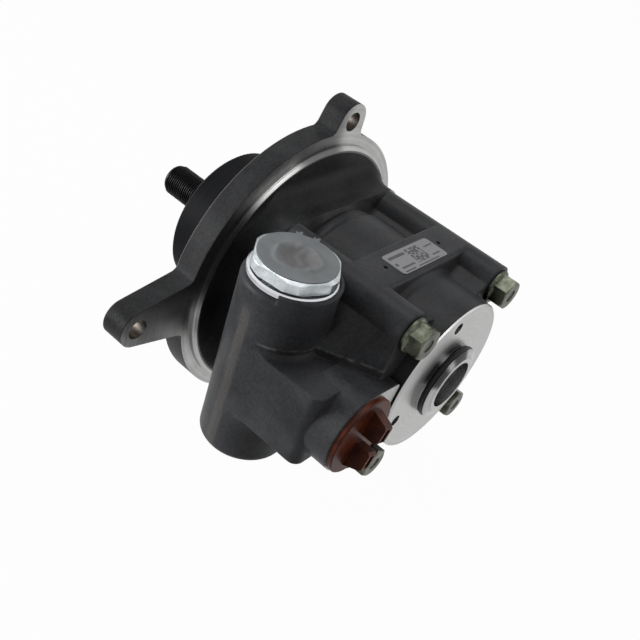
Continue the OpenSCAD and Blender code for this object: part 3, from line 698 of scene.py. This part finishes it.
@dataclass(frozen=True)
class LabelFilm:
    """Silver film with plain printed bars and a field of blocks."""

    centre: Pair = (82.8, 0.0)
    silver: Colour = (0.205, 0.206, 0.213)
    ink: Colour = (0.010, 0.010, 0.011)
    bars: tuple[tuple[float, float, float, float], ...] = (
        (-4.5, -11.6, 2.0, 14.0),
        (0.7, -17.8, 2.0, 2.4),
        (4.0, -11.5, 1.3, 11.0),
        (6.9, -13.5, 1.0, 9.0),
        (6.9, 3.5, 0.9, 19.0),
        (-2.8, 15.2, 1.0, 7.4),
        (4.1, 14.1, 1.1, 6.6),
    )
    field_mid: Pair = (-0.5, 2.6)
    field_w: float = 11.4
    cells: int = 12
    bare_share: float = 0.36  # of the cells

    def box(self, spot: tuple[Signal, Signal], mid: Pair, size: Pair) -> Signal:
        """Mask of a rectangle with a middle, a width and a length."""
        inside = abs(spot[0] - mid[0]) < size[0] / 2
        return inside * (abs(spot[1] - mid[1]) < size[1] / 2)

    def make(self, name: str) -> bpy.types.Material:
        """Build the material of this finish.

        Args:
            name: Name of the material.

        Returns:
            The new material.
        """
        board = Board(name)
        place = board.place()
        x, y, _ = board.split(place)
        spot = (x - self.centre[0], y - self.centre[1])
        fine = board.noise(place, per_mm=2.0, detail=3.0)
        half = self.field_w / 2
        corner = [half - mid - middle for mid, middle in zip(self.field_mid, self.centre)]
        inner = board.vector("ADD", {0: place, 1: (*corner, 0.0)})
        steps = board.vector("SCALE", {0: inner, "Scale": self.cells / self.field_w})
        cells = board.vector("FLOOR", {0: steps})
        flat = board.vector("MULTIPLY", {0: cells, 1: (1.0, 1.0, 0.0)})
        blocks = board.number("ShaderNodeTexWhiteNoise", {}, {"Vector": flat}) > self.bare_share
        printed = blocks * self.box(spot, self.field_mid, (self.field_w, self.field_w))
        for u, v, width, length in self.bars:
            printed = printed + self.box(spot, (u, v), (width, length))
        cover = board.noise(place, per_mm=5.0, detail=1.0).rise(0.2, 0.5)
        return board.skin(
            {
                "Base Color": board.blend(printed.least(1.0) * cover * 0.92, self.silver, self.ink),
                "Metallic": 0.3,
                "Roughness": 0.36 + 0.2 * fine,
                "Normal": board.bump(fine, strength=0.08, depth_mm=0.05),
            }
        )


Finish = Union[CastIron, TurnedMetal, Plating, Rubber, MouldedPlastic, SealFilm, LabelFilm]


class Shop:
    """Makes each material once and dresses the pieces."""

    def __init__(self) -> None:
        """Start with no materials."""
        self.made: dict[Finish, bpy.types.Material] = {}

    def material(self, finish: Finish) -> bpy.types.Material:
        """Find or make the material of a finish.

        Args:
            finish: The finish.

        Returns:
            Its only material.
        """
        if finish not in self.made:
            kind = type(finish).__name__
            self.made[finish] = finish.make(f"{kind}_{len(self.made):02d}")
        return self.made[finish]

    def dress(self, node: str, finish: Finish) -> None:
        """Put a finish on a solid that stays as it is.

        Args:
            node: Name of the solid.
            finish: Finish of the whole solid.
        """
        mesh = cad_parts[node].data
        mesh.materials.clear()
        mesh.materials.append(self.material(finish))
        LOG.info("dressed %s", node)

    def piece(
        self,
        shape: Shape,
        name: str,
        finishes: Sequence[Finish],
        body: Body,
        stands_for: Sequence[str] = (),
        crisp: float = SHARP,
    ) -> bpy.types.Object:
        """Turn a shape into a finished piece that rides on a body.

        Args:
            shape: The shape, which is freed.
            name: Name of the piece.
            finishes: Finishes by face number.
            body: Body that carries the piece.
            stands_for: Solids that the piece replaces.
            crisp: Angle in degrees from which an edge stays sharp.

        Returns:
            The new object.
        """
        for face in shape.faces:
            face.smooth = True
        for edge in shape.edges:
            gentle = edge.calc_face_angle(0.0) < math.radians(crisp)
            edge.smooth = len(edge.link_faces) == 2 and gentle
        mesh = bpy.data.meshes.new(name)
        shape.to_mesh(mesh)
        shape.free()
        for finish in finishes:
            mesh.materials.append(self.material(finish))
        made = bpy.data.objects.new(name, mesh)
        bpy.context.scene.collection.objects.link(made)
        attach(made, body.value)
        if stands_for:
            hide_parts(*stands_for)
        LOG.info("piece %s: %d faces", name, len(mesh.polygons))
        return made

    def copy(
        self,
        node: str,
        name: str,
        finish: Finish,
        slot: str,
        body: Body = Body.HOUSING,
        crisp: float = SHARP,
    ) -> bpy.types.Object:
        """Put a smooth copy in the place of a solid, with the arguments of piece."""
        return self.piece(copied(node), name, [finish], body, [node], crisp)


def copied(node: str) -> Shape:
    """Merged copy of a solid's mesh.

    Args:
        node: Name of the solid.

    Returns:
        The copy as a bmesh.
    """
    shape = bmesh.new()
    shape.from_mesh(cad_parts[node].data)
    bmesh.ops.remove_doubles(shape, verts=shape.verts, dist=MERGE)
    return shape


def in_hole(spot: Vector, holes: Sequence[Pair], radius: float) -> bool:
    """Whether a place lies in a hole along the shaft's axis, or on its wall.

    Args:
        spot: The place in millimetres.
        holes: Distance from the shaft and angle in degrees of each hole.
        radius: Radius of the holes.

    Returns:
        True in a hole or on its wall.
    """
    for reach, angle in holes:
        turn = math.radians(angle)
        gap = math.hypot(spot.y - reach * math.cos(turn), spot.z - reach * math.sin(turn))
        if gap < radius + WALL:
            return True
    return False


def painted(
    shape: Shape, choose: Callable[[Vector, Vector], Skin], skins: Sequence[Skin]
) -> None:
    """Give each face the number of its skin.

    Args:
        shape: The shape to paint.
        choose: Picks a skin from a face's middle in millimetres and its normal.
        skins: Skins in the order of the finishes.
    """
    shape.normal_update()
    for face in shape.faces:
        face.material_index = skins.index(choose(face.calc_center_median() / MM, face.normal))


@dataclass
class FrontCasting:
    """Pilot, mounting flange with ears, and bell."""

    flange_t: float = 13.8
    pilot_r: float = 43.6
    pilot_play: float = 0.5
    joint_x: float = 34.0
    step_x: float = 16.9
    step_r: float = 75.5
    bore_r: float = 34.0
    ear_hole_r: float = 5.5
    edge_cut: float = 0.5
    edge_gap: float = 10.0
    edge_turn: float = 1.0  # radians
    ears: tuple[Pair, ...] = ((91.4, 81.7), (115.2, 180.4), (96.0, -49.0))
    finishes: dict[Skin, Finish] = field(
        default_factory=lambda: {
            # partly the iron's own darker tone and partly painted shade: darker than the rear
            # casting's iron, so the flange and bell render dim
            Skin.CAST: CastIron(
                dark=(0.0072, 0.0075, 0.0082),
                light=(0.034, 0.0346, 0.0362),
                gloss=0.06,
                faced_r=75.0,
            ),
            Skin.TURNED: TurnedMetal(
                tilt=0.32,
                roughness=0.24,
                gloss=0.1,
                # painted shade on two sectors of the turned ring
                dull=(ShadeSector(156.0, 28.0, 0.94), ShadeSector(97.0, 15.0, 0.55)),
            ),
            Skin.PILOT: TurnedMetal(
                dark=(0.005, 0.0052, 0.006),
                light=(0.0115, 0.0118, 0.0132),
                tilt=0.08,
                roughness=0.4,
                metallic=0.0,
                gloss=0.025,
            ),
            Skin.BORED: TurnedMetal(
                dark=(0.08, 0.068, 0.058), light=(0.2, 0.175, 0.155), tilt=0.1, roughness=0.35
            ),
            Skin.MILLED: TurnedMetal(tilt=0.32, roughness=0.24),
        }
    )

    def skin_at(self, spot: Vector, way: Vector) -> Skin:
        """Pick the skin of a face.

        Args:
            spot: Middle of the face in millimetres.
            way: Normal of the face.

        Returns:
            The skin of the face.
        """
        reach = math.hypot(spot.y, spot.z)
        flat = abs(way.x) > SQUARE
        if flat and abs(spot.x) < FLUSH:
            return Skin.MILLED
        if flat and min(abs(spot.x - x) for x in (self.flange_t, self.joint_x)) < FLUSH:
            return Skin.TURNED
        if self.flange_t < spot.x < self.step_x and reach > self.step_r:
            return Skin.TURNED
        if reach < self.bore_r or (not flat and in_hole(spot, self.ears, self.ear_hole_r)):
            return Skin.BORED
        if spot.x < 0.0 and reach < self.pilot_r + self.pilot_play:
            return Skin.PILOT
        return Skin.CAST

    def break_edge(self, shape: Shape, number: int) -> None:
        """Chamfer the outline of the flange where its front was faced.

        Args:
            shape: The casting.
            number: Finish of the chamfer.
        """
        outline = []
        for edge in shape.edges:
            middle = (edge.verts[0].co + edge.verts[1].co) / (2.0 * MM)
            level = max(abs(vert.co.x) for vert in edge.verts) < MERGE
            outer = math.hypot(middle.y, middle.z) > self.pilot_r + self.edge_gap
            sharp = edge.calc_face_angle(0.0) > self.edge_turn
            if level and outer and sharp and not in_hole(middle, self.ears, self.ear_hole_r):
                outline.append(edge)
        bmesh.ops.bevel(
            shape,
            geom=outline,
            offset=self.edge_cut * MM,
            offset_type="OFFSET",
            affect="EDGES",
            segments=1,
            profile=0.5,
            material=number,
            clamp_overlap=True,
        )

    def build(self, shop: Shop) -> None:
        """Build and dress the casting.

        Args:
            shop: Maker of the piece.
        """
        shape = copied("front_housing")
        skins = list(self.finishes)
        painted(shape, self.skin_at, skins)
        self.break_edge(shape, skins.index(Skin.BORED))
        finishes = [self.finishes[skin] for skin in skins]
        shop.piece(shape, "front_casting", finishes, Body.HOUSING, ["front_housing"])


@dataclass
class RearCasting:
    """Barrel, bolt bosses, valve chamber, port boss and rear face."""

    rear_x: float = 123.6
    seat_x: float = 114.5
    port_x: float = 122.0
    joint_x: float = 34.0
    chamber_top: float = 48.6
    spigot_r: float = 21.6
    spigot_x: float = 130.5
    spigot_play: float = 0.01
    collar_x: float = 128.75
    collar_r: float = 16.6
    recess_r: float = 14.2
    rim_x: float = 129.05
    recess_lip: float = 1.0
    flank_lean: float = 0.97  # part of a normal along the shaft
    face_r: float = 46.0
    face_t: float = 0.85
    bore_r: float = 45.0
    tap_r: float = 3.4
    taps: tuple[Pair, ...] = ((37.6, 102.5), (37.6, 200.8))
    finishes: dict[Skin, Finish] = field(
        default_factory=lambda: {
            Skin.CAST: CastIron(edge_mm=1.6, strip_x=58.0, seam_z=22.5),
            Skin.TURNED: TurnedMetal(
                dark=(0.34, 0.34, 0.336), light=(0.46, 0.46, 0.455), tilt=0.07, roughness=0.3
            ),
            Skin.BORED: TurnedMetal(
                dark=(0.2, 0.2, 0.203), light=(0.75, 0.75, 0.75), tilt=0.45, roughness=0.16
            ),
            Skin.PILOT: TurnedMetal(
                dark=(0.2, 0.2, 0.202),
                light=(0.38, 0.38, 0.383),
                tilt=0.15,
                roughness=0.2,
                gloss=0.1,
                # painted shade on two sectors of the spigot collar
                dull=(ShadeSector(95.0, 23.0, 0.95), ShadeSector(145.0, 23.0, 0.97)),
            ),
            Skin.MILLED: TurnedMetal(
                centre=(VALVE_AXIS[1], -3.0),
                dark=(0.26, 0.26, 0.26),
                light=(0.42, 0.42, 0.42),
                tilt=0.1,
                roughness=0.32,
            ),
        }
    )

    def skin_at(self, spot: Vector, way: Vector) -> Skin:
        """Pick the skin of a face.

        Args:
            spot: Middle of the face in millimetres.
            way: Normal of the face.

        Returns:
            The skin of the face.
        """
        reach = math.hypot(spot.y, spot.z)
        behind = spot.x > self.rear_x
        if way.x > SQUARE and abs(spot.x - self.rear_x) < FLUSH:
            return Skin.TURNED
        if reach < self.recess_r + WALL / 2 or in_hole(spot, self.taps, self.tap_r):
            return Skin.BORED
        if behind and abs(way.x) < self.flank_lean:
            return Skin.PILOT
        if behind and reach < self.spigot_r + WALL:
            return Skin.TURNED
        if spot.x > self.rear_x - self.face_t and reach < self.face_r:
            return Skin.TURNED
        if way.x > SQUARE and abs(spot.x - self.port_x) < FLUSH:
            return Skin.MILLED
        if abs(way.x) > SQUARE and abs(spot.x - self.joint_x) < FLUSH:
            return Skin.MILLED
        if way.z > SQUARE and abs(spot.z - self.chamber_top) < FLUSH:
            return Skin.MILLED
        outward = way.y * spot.y + way.z * spot.z
        if reach < self.bore_r and spot.x < self.seat_x and outward < 0.0:
            return Skin.BORED
        return Skin.CAST

    def cone_collar(self, shape: Shape) -> None:
        """Turn the rim of the spigot down to a cone.

        Args:
            shape: The casting.
        """
        wall = (self.recess_r + self.recess_lip) * MM
        rim = [vert for vert in shape.verts if vert.co.x > self.rim_x * MM]
        outer = [vert for vert in rim if math.hypot(vert.co.y, vert.co.z) > wall]
        inner = [vert for vert in outer if vert.co.x > (self.spigot_x - self.spigot_play) * MM]
        for vert in set(outer) - set(inner):
            back = self.collar_x * MM - vert.co.x
            bmesh.ops.translate(shape, verts=[vert], vec=(back, 0.0, 0.0))
        share = self.collar_r * MM / max(math.hypot(vert.co.y, vert.co.z) for vert in inner)
        bmesh.ops.scale(shape, verts=inner, vec=(1.0, share, share))

    def build(self, shop: Shop) -> None:
        """Build and dress the casting.

        Args:
            shop: Maker of the piece.
        """
        shape = copied("rear_housing")
        self.cone_collar(shape)
        skins = list(self.finishes)
        painted(shape, self.skin_at, skins)
        finishes = [self.finishes[skin] for skin in skins]
        shop.piece(shape, "rear_casting", finishes, Body.HOUSING, ["rear_housing"])


@dataclass
class DriveShaft:
    """Shaft with a cut thread at its front end."""

    tip_x: float = -88.8
    thread_l: float = 27.0
    thread_r: float = 10.0
    root_r: float = 9.1
    pitch: float = 1.5
    lead_in: float = 1.3
    flank_share: float = 0.6
    groove: float = 0.14
    sunk: float = 0.1
    steps: int = 36
    steel: Finish = TurnedMetal(
        dark=(0.10, 0.102, 0.108), light=(0.24, 0.244, 0.252), tilt=0.08, roughness=0.28
    )
    blacked: Finish = TurnedMetal(
        dark=(0.008, 0.008, 0.0085), light=(0.022, 0.022, 0.023), tilt=0.08, roughness=0.36
    )

    def body(self) -> Shape:
        """Copy the shaft, turned down to the root of the thread.

        Returns:
            The shaft without its thread.
        """
        shape = copied("drive_shaft")
        end = (self.tip_x + self.thread_l + FLUSH) * MM
        for vert in shape.verts:
            reach = math.hypot(vert.co.y, vert.co.z)
            if vert.co.x < end and reach > self.root_r * MM:
                share = self.root_r * MM / reach
                vert.co.y *= share
                vert.co.z *= share
        for face in shape.faces:
            face.material_index = int(face.calc_center_median().x < end)
        return shape

    def thread(self) -> Shape:
        """Wind a ridge round the root of the thread.

        Returns:
            The closed ridge.
        """
        shape = bmesh.new()
        flank = (self.thread_r - self.root_r) * self.flank_share
        crest = self.pitch - 2.0 * flank - self.groove
        foot = self.root_r - self.sunk
        ridge = ((0.0, foot), (flank, self.thread_r), (flank + crest, self.thread_r))
        ridge += ((2.0 * flank + crest, foot),)
        start = self.tip_x + self.lead_in
        loop = [shape.verts.new(Vector((start + x, 0.0, r)) * MM) for x, r in ridge]
        edges = [shape.edges.new((loop[i], loop[(i + 1) % len(loop)])) for i in range(len(loop))]
        turns = (self.thread_l - self.lead_in - self.pitch) / self.pitch
        count = round(turns * self.steps)
        bmesh.ops.spin(
            shape,
            geom=loop + edges,
            cent=(0.0, 0.0, 0.0),
            axis=(1.0, 0.0, 0.0),
            dvec=(self.pitch * MM / self.steps, 0.0, 0.0),
            angle=2.0 * math.pi * count / self.steps,
            steps=count,
        )
        ends = [edge for edge in shape.edges if edge.is_boundary]
        bmesh.ops.holes_fill(shape, edges=ends, sides=0)
        bmesh.ops.recalc_face_normals(shape, faces=shape.faces)
        return shape

    def build(self, shop: Shop) -> None:
        """Build and dress the shaft and its thread.

        Args:
            shop: Maker of the pieces.
        """
        finishes = [self.steel, self.blacked]
        shop.piece(self.body(), "shaft_body", finishes, Body.SHAFT, ["drive_shaft"])
        shop.piece(self.thread(), "shaft_thread", [self.blacked], Body.SHAFT)


@dataclass
class ValveTop:
    """Hexagon plug of the valve, its washer and the film disc on top."""

    axis: Pair = VALVE_AXIS
    top_z: float = 59.2
    disc_r: float = 20.0
    dish_in: float = 5.4
    dish_out: float = 10.6
    dip: float = 1.5
    sheet: float = 0.3
    lift: float = 0.12
    lip_h: float = 0.4
    ripple_h: float = 0.3
    pleat_h: float = 0.38
    calm_h: float = 0.10
    rings: int = 26
    spokes: int = 120
    gap: float = 0.02
    tabs: tuple[float, ...] = (107.6, 129.7)  # degrees
    tab_half: float = 0.9965  # cosine of half a tab's angle
    tab_least: float = 1.2
    tab_fray: float = 1.8
    zinc: Finish = Plating()
    washer: Finish = TurnedMetal(
        axis=Axis.Z,
        centre=VALVE_AXIS,
        dark=(0.42, 0.43, 0.45),
        light=(0.7, 0.715, 0.74),
        tilt=0.3,
    )
    film: Finish = SealFilm()

    def rumple(self, reach: float, turn: float) -> float:
        """Height of the creased film over the plug.

        Args:
            reach: Distance from the middle in millimetres.
            turn: Angle round the middle in radians.

        Returns:
            Height in millimetres.
        """
        share = min(1.0, max(0.0, (self.dish_out - reach) / (self.dish_out - self.dish_in)))
        bowl = -self.dip * share * share * (3.0 - 2.0 * share)
        lobes = 0.6 * math.sin(3.0 * turn + 0.5) + 0.4 * math.sin(5.0 * turn - 1.0)
        lip = math.exp(-(((reach - self.dish_out - 0.8 - 0.7 * lobes) / 1.1) ** 2))
        along, over = reach * math.cos(turn - 0.7), reach * math.sin(turn - 0.7)
        ripple = math.sin(along + 1.1 * math.sin(0.55 * over + 0.4))
        ripple *= math.exp(-((reach / 8.5) ** 2))
        pleat = max(0.0, math.sin(5.0 * turn + 0.3 * reach)) ** 3
        pleat *= math.exp(-(((reach - 9.0) / 2.6) ** 2))
        rim = max(0.0, (reach - self.dish_out) / (self.disc_r - self.dish_out))
        calm = self.calm_h * math.sin(math.pi * rim) * math.sin(2.0 * turn + 0.3 * reach)
        creases = self.lip_h * lip + self.ripple_h * ripple + self.pleat_h * pleat
        return bowl + self.lift + creases + calm

    def disc(self) -> Shape:
        """Spin, tear and crease the film disc.

        Returns:
            The disc in its place.
        """
        shape = bmesh.new()
        reaches = [self.disc_r * i / self.rings * MM for i in range(self.rings + 1)]
        line = [shape.verts.new((reach, 0.0, 0.0)) for reach in reaches]
        edges = [shape.edges.new(pair) for pair in zip(line, line[1:])]
        bmesh.ops.spin(
            shape,
            geom=line + edges,
            cent=(0.0, 0.0, 0.0),
            axis=(0.0, 0.0, 1.0),
            angle=2.0 * math.pi,
            steps=self.spokes,
            use_merge=True,
        )
        bmesh.ops.remove_doubles(shape, verts=shape.verts, dist=MERGE)
        self.tear(shape)
        for vert in shape.verts:
            spot = vert.co / MM
            reach = math.hypot(spot.x, spot.y)
            vert.co.z = self.rumple(min(reach, self.disc_r), math.atan2(spot.y, spot.x)) * MM
        bmesh.ops.recalc_face_normals(shape, faces=shape.faces)
        if sum(face.normal.z for face in shape.faces) < 0.0:
            bmesh.ops.reverse_faces(shape, faces=shape.faces)
        bmesh.ops.solidify(shape, geom=shape.faces, thickness=self.sheet * MM)
        outer = [vert.co for vert in shape.verts if vert.co.xy.length > self.dish_out * MM]
        rise = self.gap * MM - min(spot.z for spot in outer)
        bmesh.ops.translate(shape, verts=shape.verts, vec=(0.0, 0.0, rise))
        bmesh.ops.translate(shape, verts=shape.verts, vec=Vector((*self.axis, self.top_z)) * MM)
        return shape

    def tear(self, shape: Shape) -> None:
        """Pull the tabs out of the rim of a flat disc.

        Args:
            shape: The disc.
        """
        rim = [edge for edge in shape.edges if edge.is_boundary]
        for angle in self.tabs:
            turn = math.radians(angle)
            way = Vector((math.cos(turn), math.sin(turn), 0.0))
            near = []
            for edge in rim:
                middle = (edge.verts[0].co + edge.verts[1].co) / 2.0
                if middle.normalized().dot(way) > self.tab_half:
                    near.append(edge)
            grown = bmesh.ops.extrude_edge_only(shape, edges=near)["geom"]
            tips = [item for item in grown if isinstance(item, bmesh.types.BMVert)]
            for number, tip in enumerate(tips):
                fray = self.tab_fray * abs(math.sin(2.3 * number + angle))
                tip.co += way * (self.tab_least + fray) * MM

    def build(self, shop: Shop) -> None:
        """Build and dress the plug, the washer and the disc.

        Args:
            shop: Maker of the pieces.
        """
        shop.copy("valve_plug", "hexagon_plug", self.zinc, "bright_zinc", crisp=SHARP_HEX)
        shop.copy("valve_plug_washer", "plug_washer", self.washer, "bright_zinc")
        under = ["plug_seal_disc"]
        shop.piece(self.disc(), "film_disc", [self.film], Body.HOUSING, under)


@dataclass
class Fittings:
    """Bolts, plugs, ring and label on the outside."""

    olive: Finish = Plating(
        dark=(0.012, 0.013, 0.0095),
        light=(0.145, 0.155, 0.118),
        tint=(0.037, 0.043, 0.03),
        roughness=0.33,
        edge_mm=0.6,
    )
    plastic: Finish = MouldedPlastic()
    rubber: Finish = Rubber()
    label: Finish = LabelFilm()

    def build(self, shop: Shop) -> None:
        """Build and dress the outer fittings.

        Args:
            shop: Maker of the pieces.
        """
        shop.copy("cover_bolts", "flange_bolts", self.olive, "olive_zinc", crisp=SHARP_HEX)
        for node in ("side_port_plug", "lower_port_plug"):
            shop.copy(node, f"{node}_moulding", self.plastic, "brown_plastic")
        shop.copy("spigot_ring", "spigot_seal", self.rubber, "rubber")
        shop.dress("rating_label", self.label)


@dataclass(frozen=True)
class Coil:
    """A spring of the valve, with the body that carries it and its joint."""

    node: str
    body: Body
    joint: str
    held_z: float
    keep: float


@dataclass
class Insides:
    """Pump cartridge, bearing and valve parts that the castings hide."""

    ground: Finish = TurnedMetal(
        dark=(0.3, 0.3, 0.31), light=(0.5, 0.5, 0.51), tilt=0.06, roughness=0.22
    )
    spring: Finish = Plating(
        dark=(0.2, 0.2, 0.21), light=(0.34, 0.34, 0.35), tint=(0.24, 0.22, 0.2), roughness=0.3
    )
    rubber: Finish = Rubber()
    bronze: Finish = TurnedMetal(
        dark=(0.34, 0.22, 0.1), light=(0.52, 0.36, 0.18), tilt=0.08, roughness=0.3
    )
    valve_steel: Finish = TurnedMetal(
        axis=Axis.Z,
        centre=VALVE_AXIS,
        dark=(0.26, 0.26, 0.27),
        light=(0.46, 0.46, 0.47),
        tilt=0.06,
    )
    turned: tuple[str, ...] = (
        "bearing_outer_ring",
        "bearing_inner_ring",
        "bearing_balls",
        "bearing_cage",
        "front_side_plate",
        "cam_ring",
        "rotor",
        "vanes",
        "pressure_plate",
        "dowel_pins",
    )
    springs: tuple[str, ...] = (
        "bearing_circlip",
        "seal_spring",
        "rotor_circlips",
        "plate_spring",
    )
    coils: tuple[Coil, ...] = (
        Coil("flow_spring", Body.HOUSING, "spool_slide", -46.5, 0.648),
        Coil("relief_spring", Body.SPOOL, "relief_open", 15.0, 0.959),
    )
    rubbers: tuple[str, ...] = ("shaft_seal", "pressure_plate_ring", "joint_ring")
    valves: tuple[str, ...] = ("flow_spool", "relief_seat", "relief_ball", "relief_guide")
    bushes: tuple[str, ...] = ("rear_bush",)

    def build(self, shop: Shop) -> None:
        """Dress the inner solids and build the springs of the valve.

        Args:
            shop: Maker of the pieces.
        """
        groups = {
            self.turned: self.ground,
            self.springs: self.spring,
            self.rubbers: self.rubber,
            self.valves: self.valve_steel,
            self.bushes: self.bronze,
        }
        for nodes, finish in groups.items():
            for node in nodes:
                shop.dress(node, finish)
        for coil in self.coils:
            made = shop.copy(coil.node, f"{coil.node}_coil", self.spring, "steel", coil.body)
            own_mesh(made)


@dataclass(frozen=True)
class Lamp:
    """A soft square lamp that faces the pump."""

    name: str
    place: tuple[float, float, float]
    watts: float
    width: float

    def hang(self) -> None:
        """Hang the lamp in its place."""
        light = bpy.data.lights.new(self.name, "AREA")
        light.energy = self.watts
        light.size = self.width
        made = bpy.data.objects.new(self.name, light)
        bpy.context.scene.collection.objects.link(made)
        made.location = self.place
        made.rotation_euler = (-made.location).to_track_quat("-Z", "Y").to_euler()


@dataclass
class Studio:
    """Pale floor, soft light and the camera, in metres."""

    eye: Vector = field(default_factory=lambda: Vector((0.24144, -0.35950, 0.26960)))
    look: Vector = field(default_factory=lambda: Vector((-0.39491, 0.71611, -0.57553)))
    up: Vector = field(default_factory=lambda: Vector((-0.56039, 0.30865, 0.76857)))
    lens: float = 48.805
    sky: float = 0.2
    floor_w: float = 6.0
    floor_cells: int = 8
    floor_gap: float = 0.0005
    floor_grey: float = 0.5
    floor_white: float = 0.975
    lamps: tuple[Lamp, ...] = (
        Lamp("top_light", (-0.35, 0.15, 1.25), 5.8, 0.6),
        Lamp("side_light", (-1.05, -1.0, 0.3), 27.0, 0.7),
        Lamp("rear_light", (1.2, 0.3, 0.5), 2.0, 0.4),
        Lamp("far_light", (1.1, 1.0, 0.2), 3.0, 0.6),
    )

    def camera(self) -> None:
        """Set up the camera at the view of the photograph."""
        lens = bpy.data.cameras.new("camera")
        lens.lens = self.lens
        lens.sensor_width = 36.0
        lens.clip_start = 0.01
        view = bpy.data.objects.new("camera", lens)
        bpy.context.scene.collection.objects.link(view)
        back = -self.look.normalized()
        right = self.up.cross(back).normalized()
        rise = back.cross(right)
        turn = Matrix((right, rise, back)).transposed().to_4x4()
        view.matrix_world = Matrix.Translation(self.eye) @ turn
        bpy.context.scene.camera = view

    def floor(self) -> None:
        """Lay a wide pale floor under the pump."""
        shape = bmesh.new()
        cells, low = self.floor_cells, CAD_BOX[0].z - self.floor_gap
        bmesh.ops.create_grid(shape, x_segments=cells, y_segments=cells, size=self.floor_w / 2)
        bmesh.ops.translate(shape, verts=shape.verts, vec=(0.0, 0.0, low))
        mesh = bpy.data.meshes.new("floor")
        shape.to_mesh(mesh)
        shape.free()
        board = Board("pale_floor")
        grey = (*[self.floor_grey] * 3, 1.0)
        matt = board.node("ShaderNodeBsdfDiffuse", {}, {"Color": grey}).outputs[0]
        white = board.node("ShaderNodeEmission", {}, {"Color": WHITE, "Strength": 1.0}).outputs[0]
        share = board.seen() * self.floor_white
        both = board.node("ShaderNodeMixShader", {}, {0: share, 1: matt, 2: white})
        board.node("ShaderNodeOutputMaterial", {}, {"Surface": both.outputs[0]})
        mesh.materials.append(board.owner)
        made = bpy.data.objects.new("floor", mesh)
        bpy.context.scene.collection.objects.link(made)

    def world(self) -> None:
        """Fill the surroundings with white that the camera and the metal see."""
        board = Board("surroundings", world=True)
        soft, white = [
            board.node("ShaderNodeBackground", {}, {"Color": WHITE, "Strength": glow}).outputs[0]
            for glow in (self.sky, 1.0)
        ]
        both = board.node("ShaderNodeMixShader", {}, {0: board.seen(), 1: soft, 2: white})
        board.node("ShaderNodeOutputWorld", {}, {"Surface": both.outputs[0]})
        bpy.context.scene.world = board.owner

    def build(self) -> None:
        """Set up floor, light and camera."""
        bpy.context.scene.view_settings.view_transform = "Standard"
        self.camera()
        self.floor()
        self.world()
        for lamp in self.lamps:
            lamp.hang()


def main() -> None:
    """Build the pieces in order, then the studio."""
    logging.basicConfig(level=logging.INFO, format="%(name)s: %(message)s")
    shop = Shop()
    for part in (FrontCasting(), RearCasting(), DriveShaft(), ValveTop(), Fittings(), Insides()):
        LOG.info("building %s", type(part).__name__)
        part.build(shop)
    Studio().build()


if __name__ == "__main__":
    main()
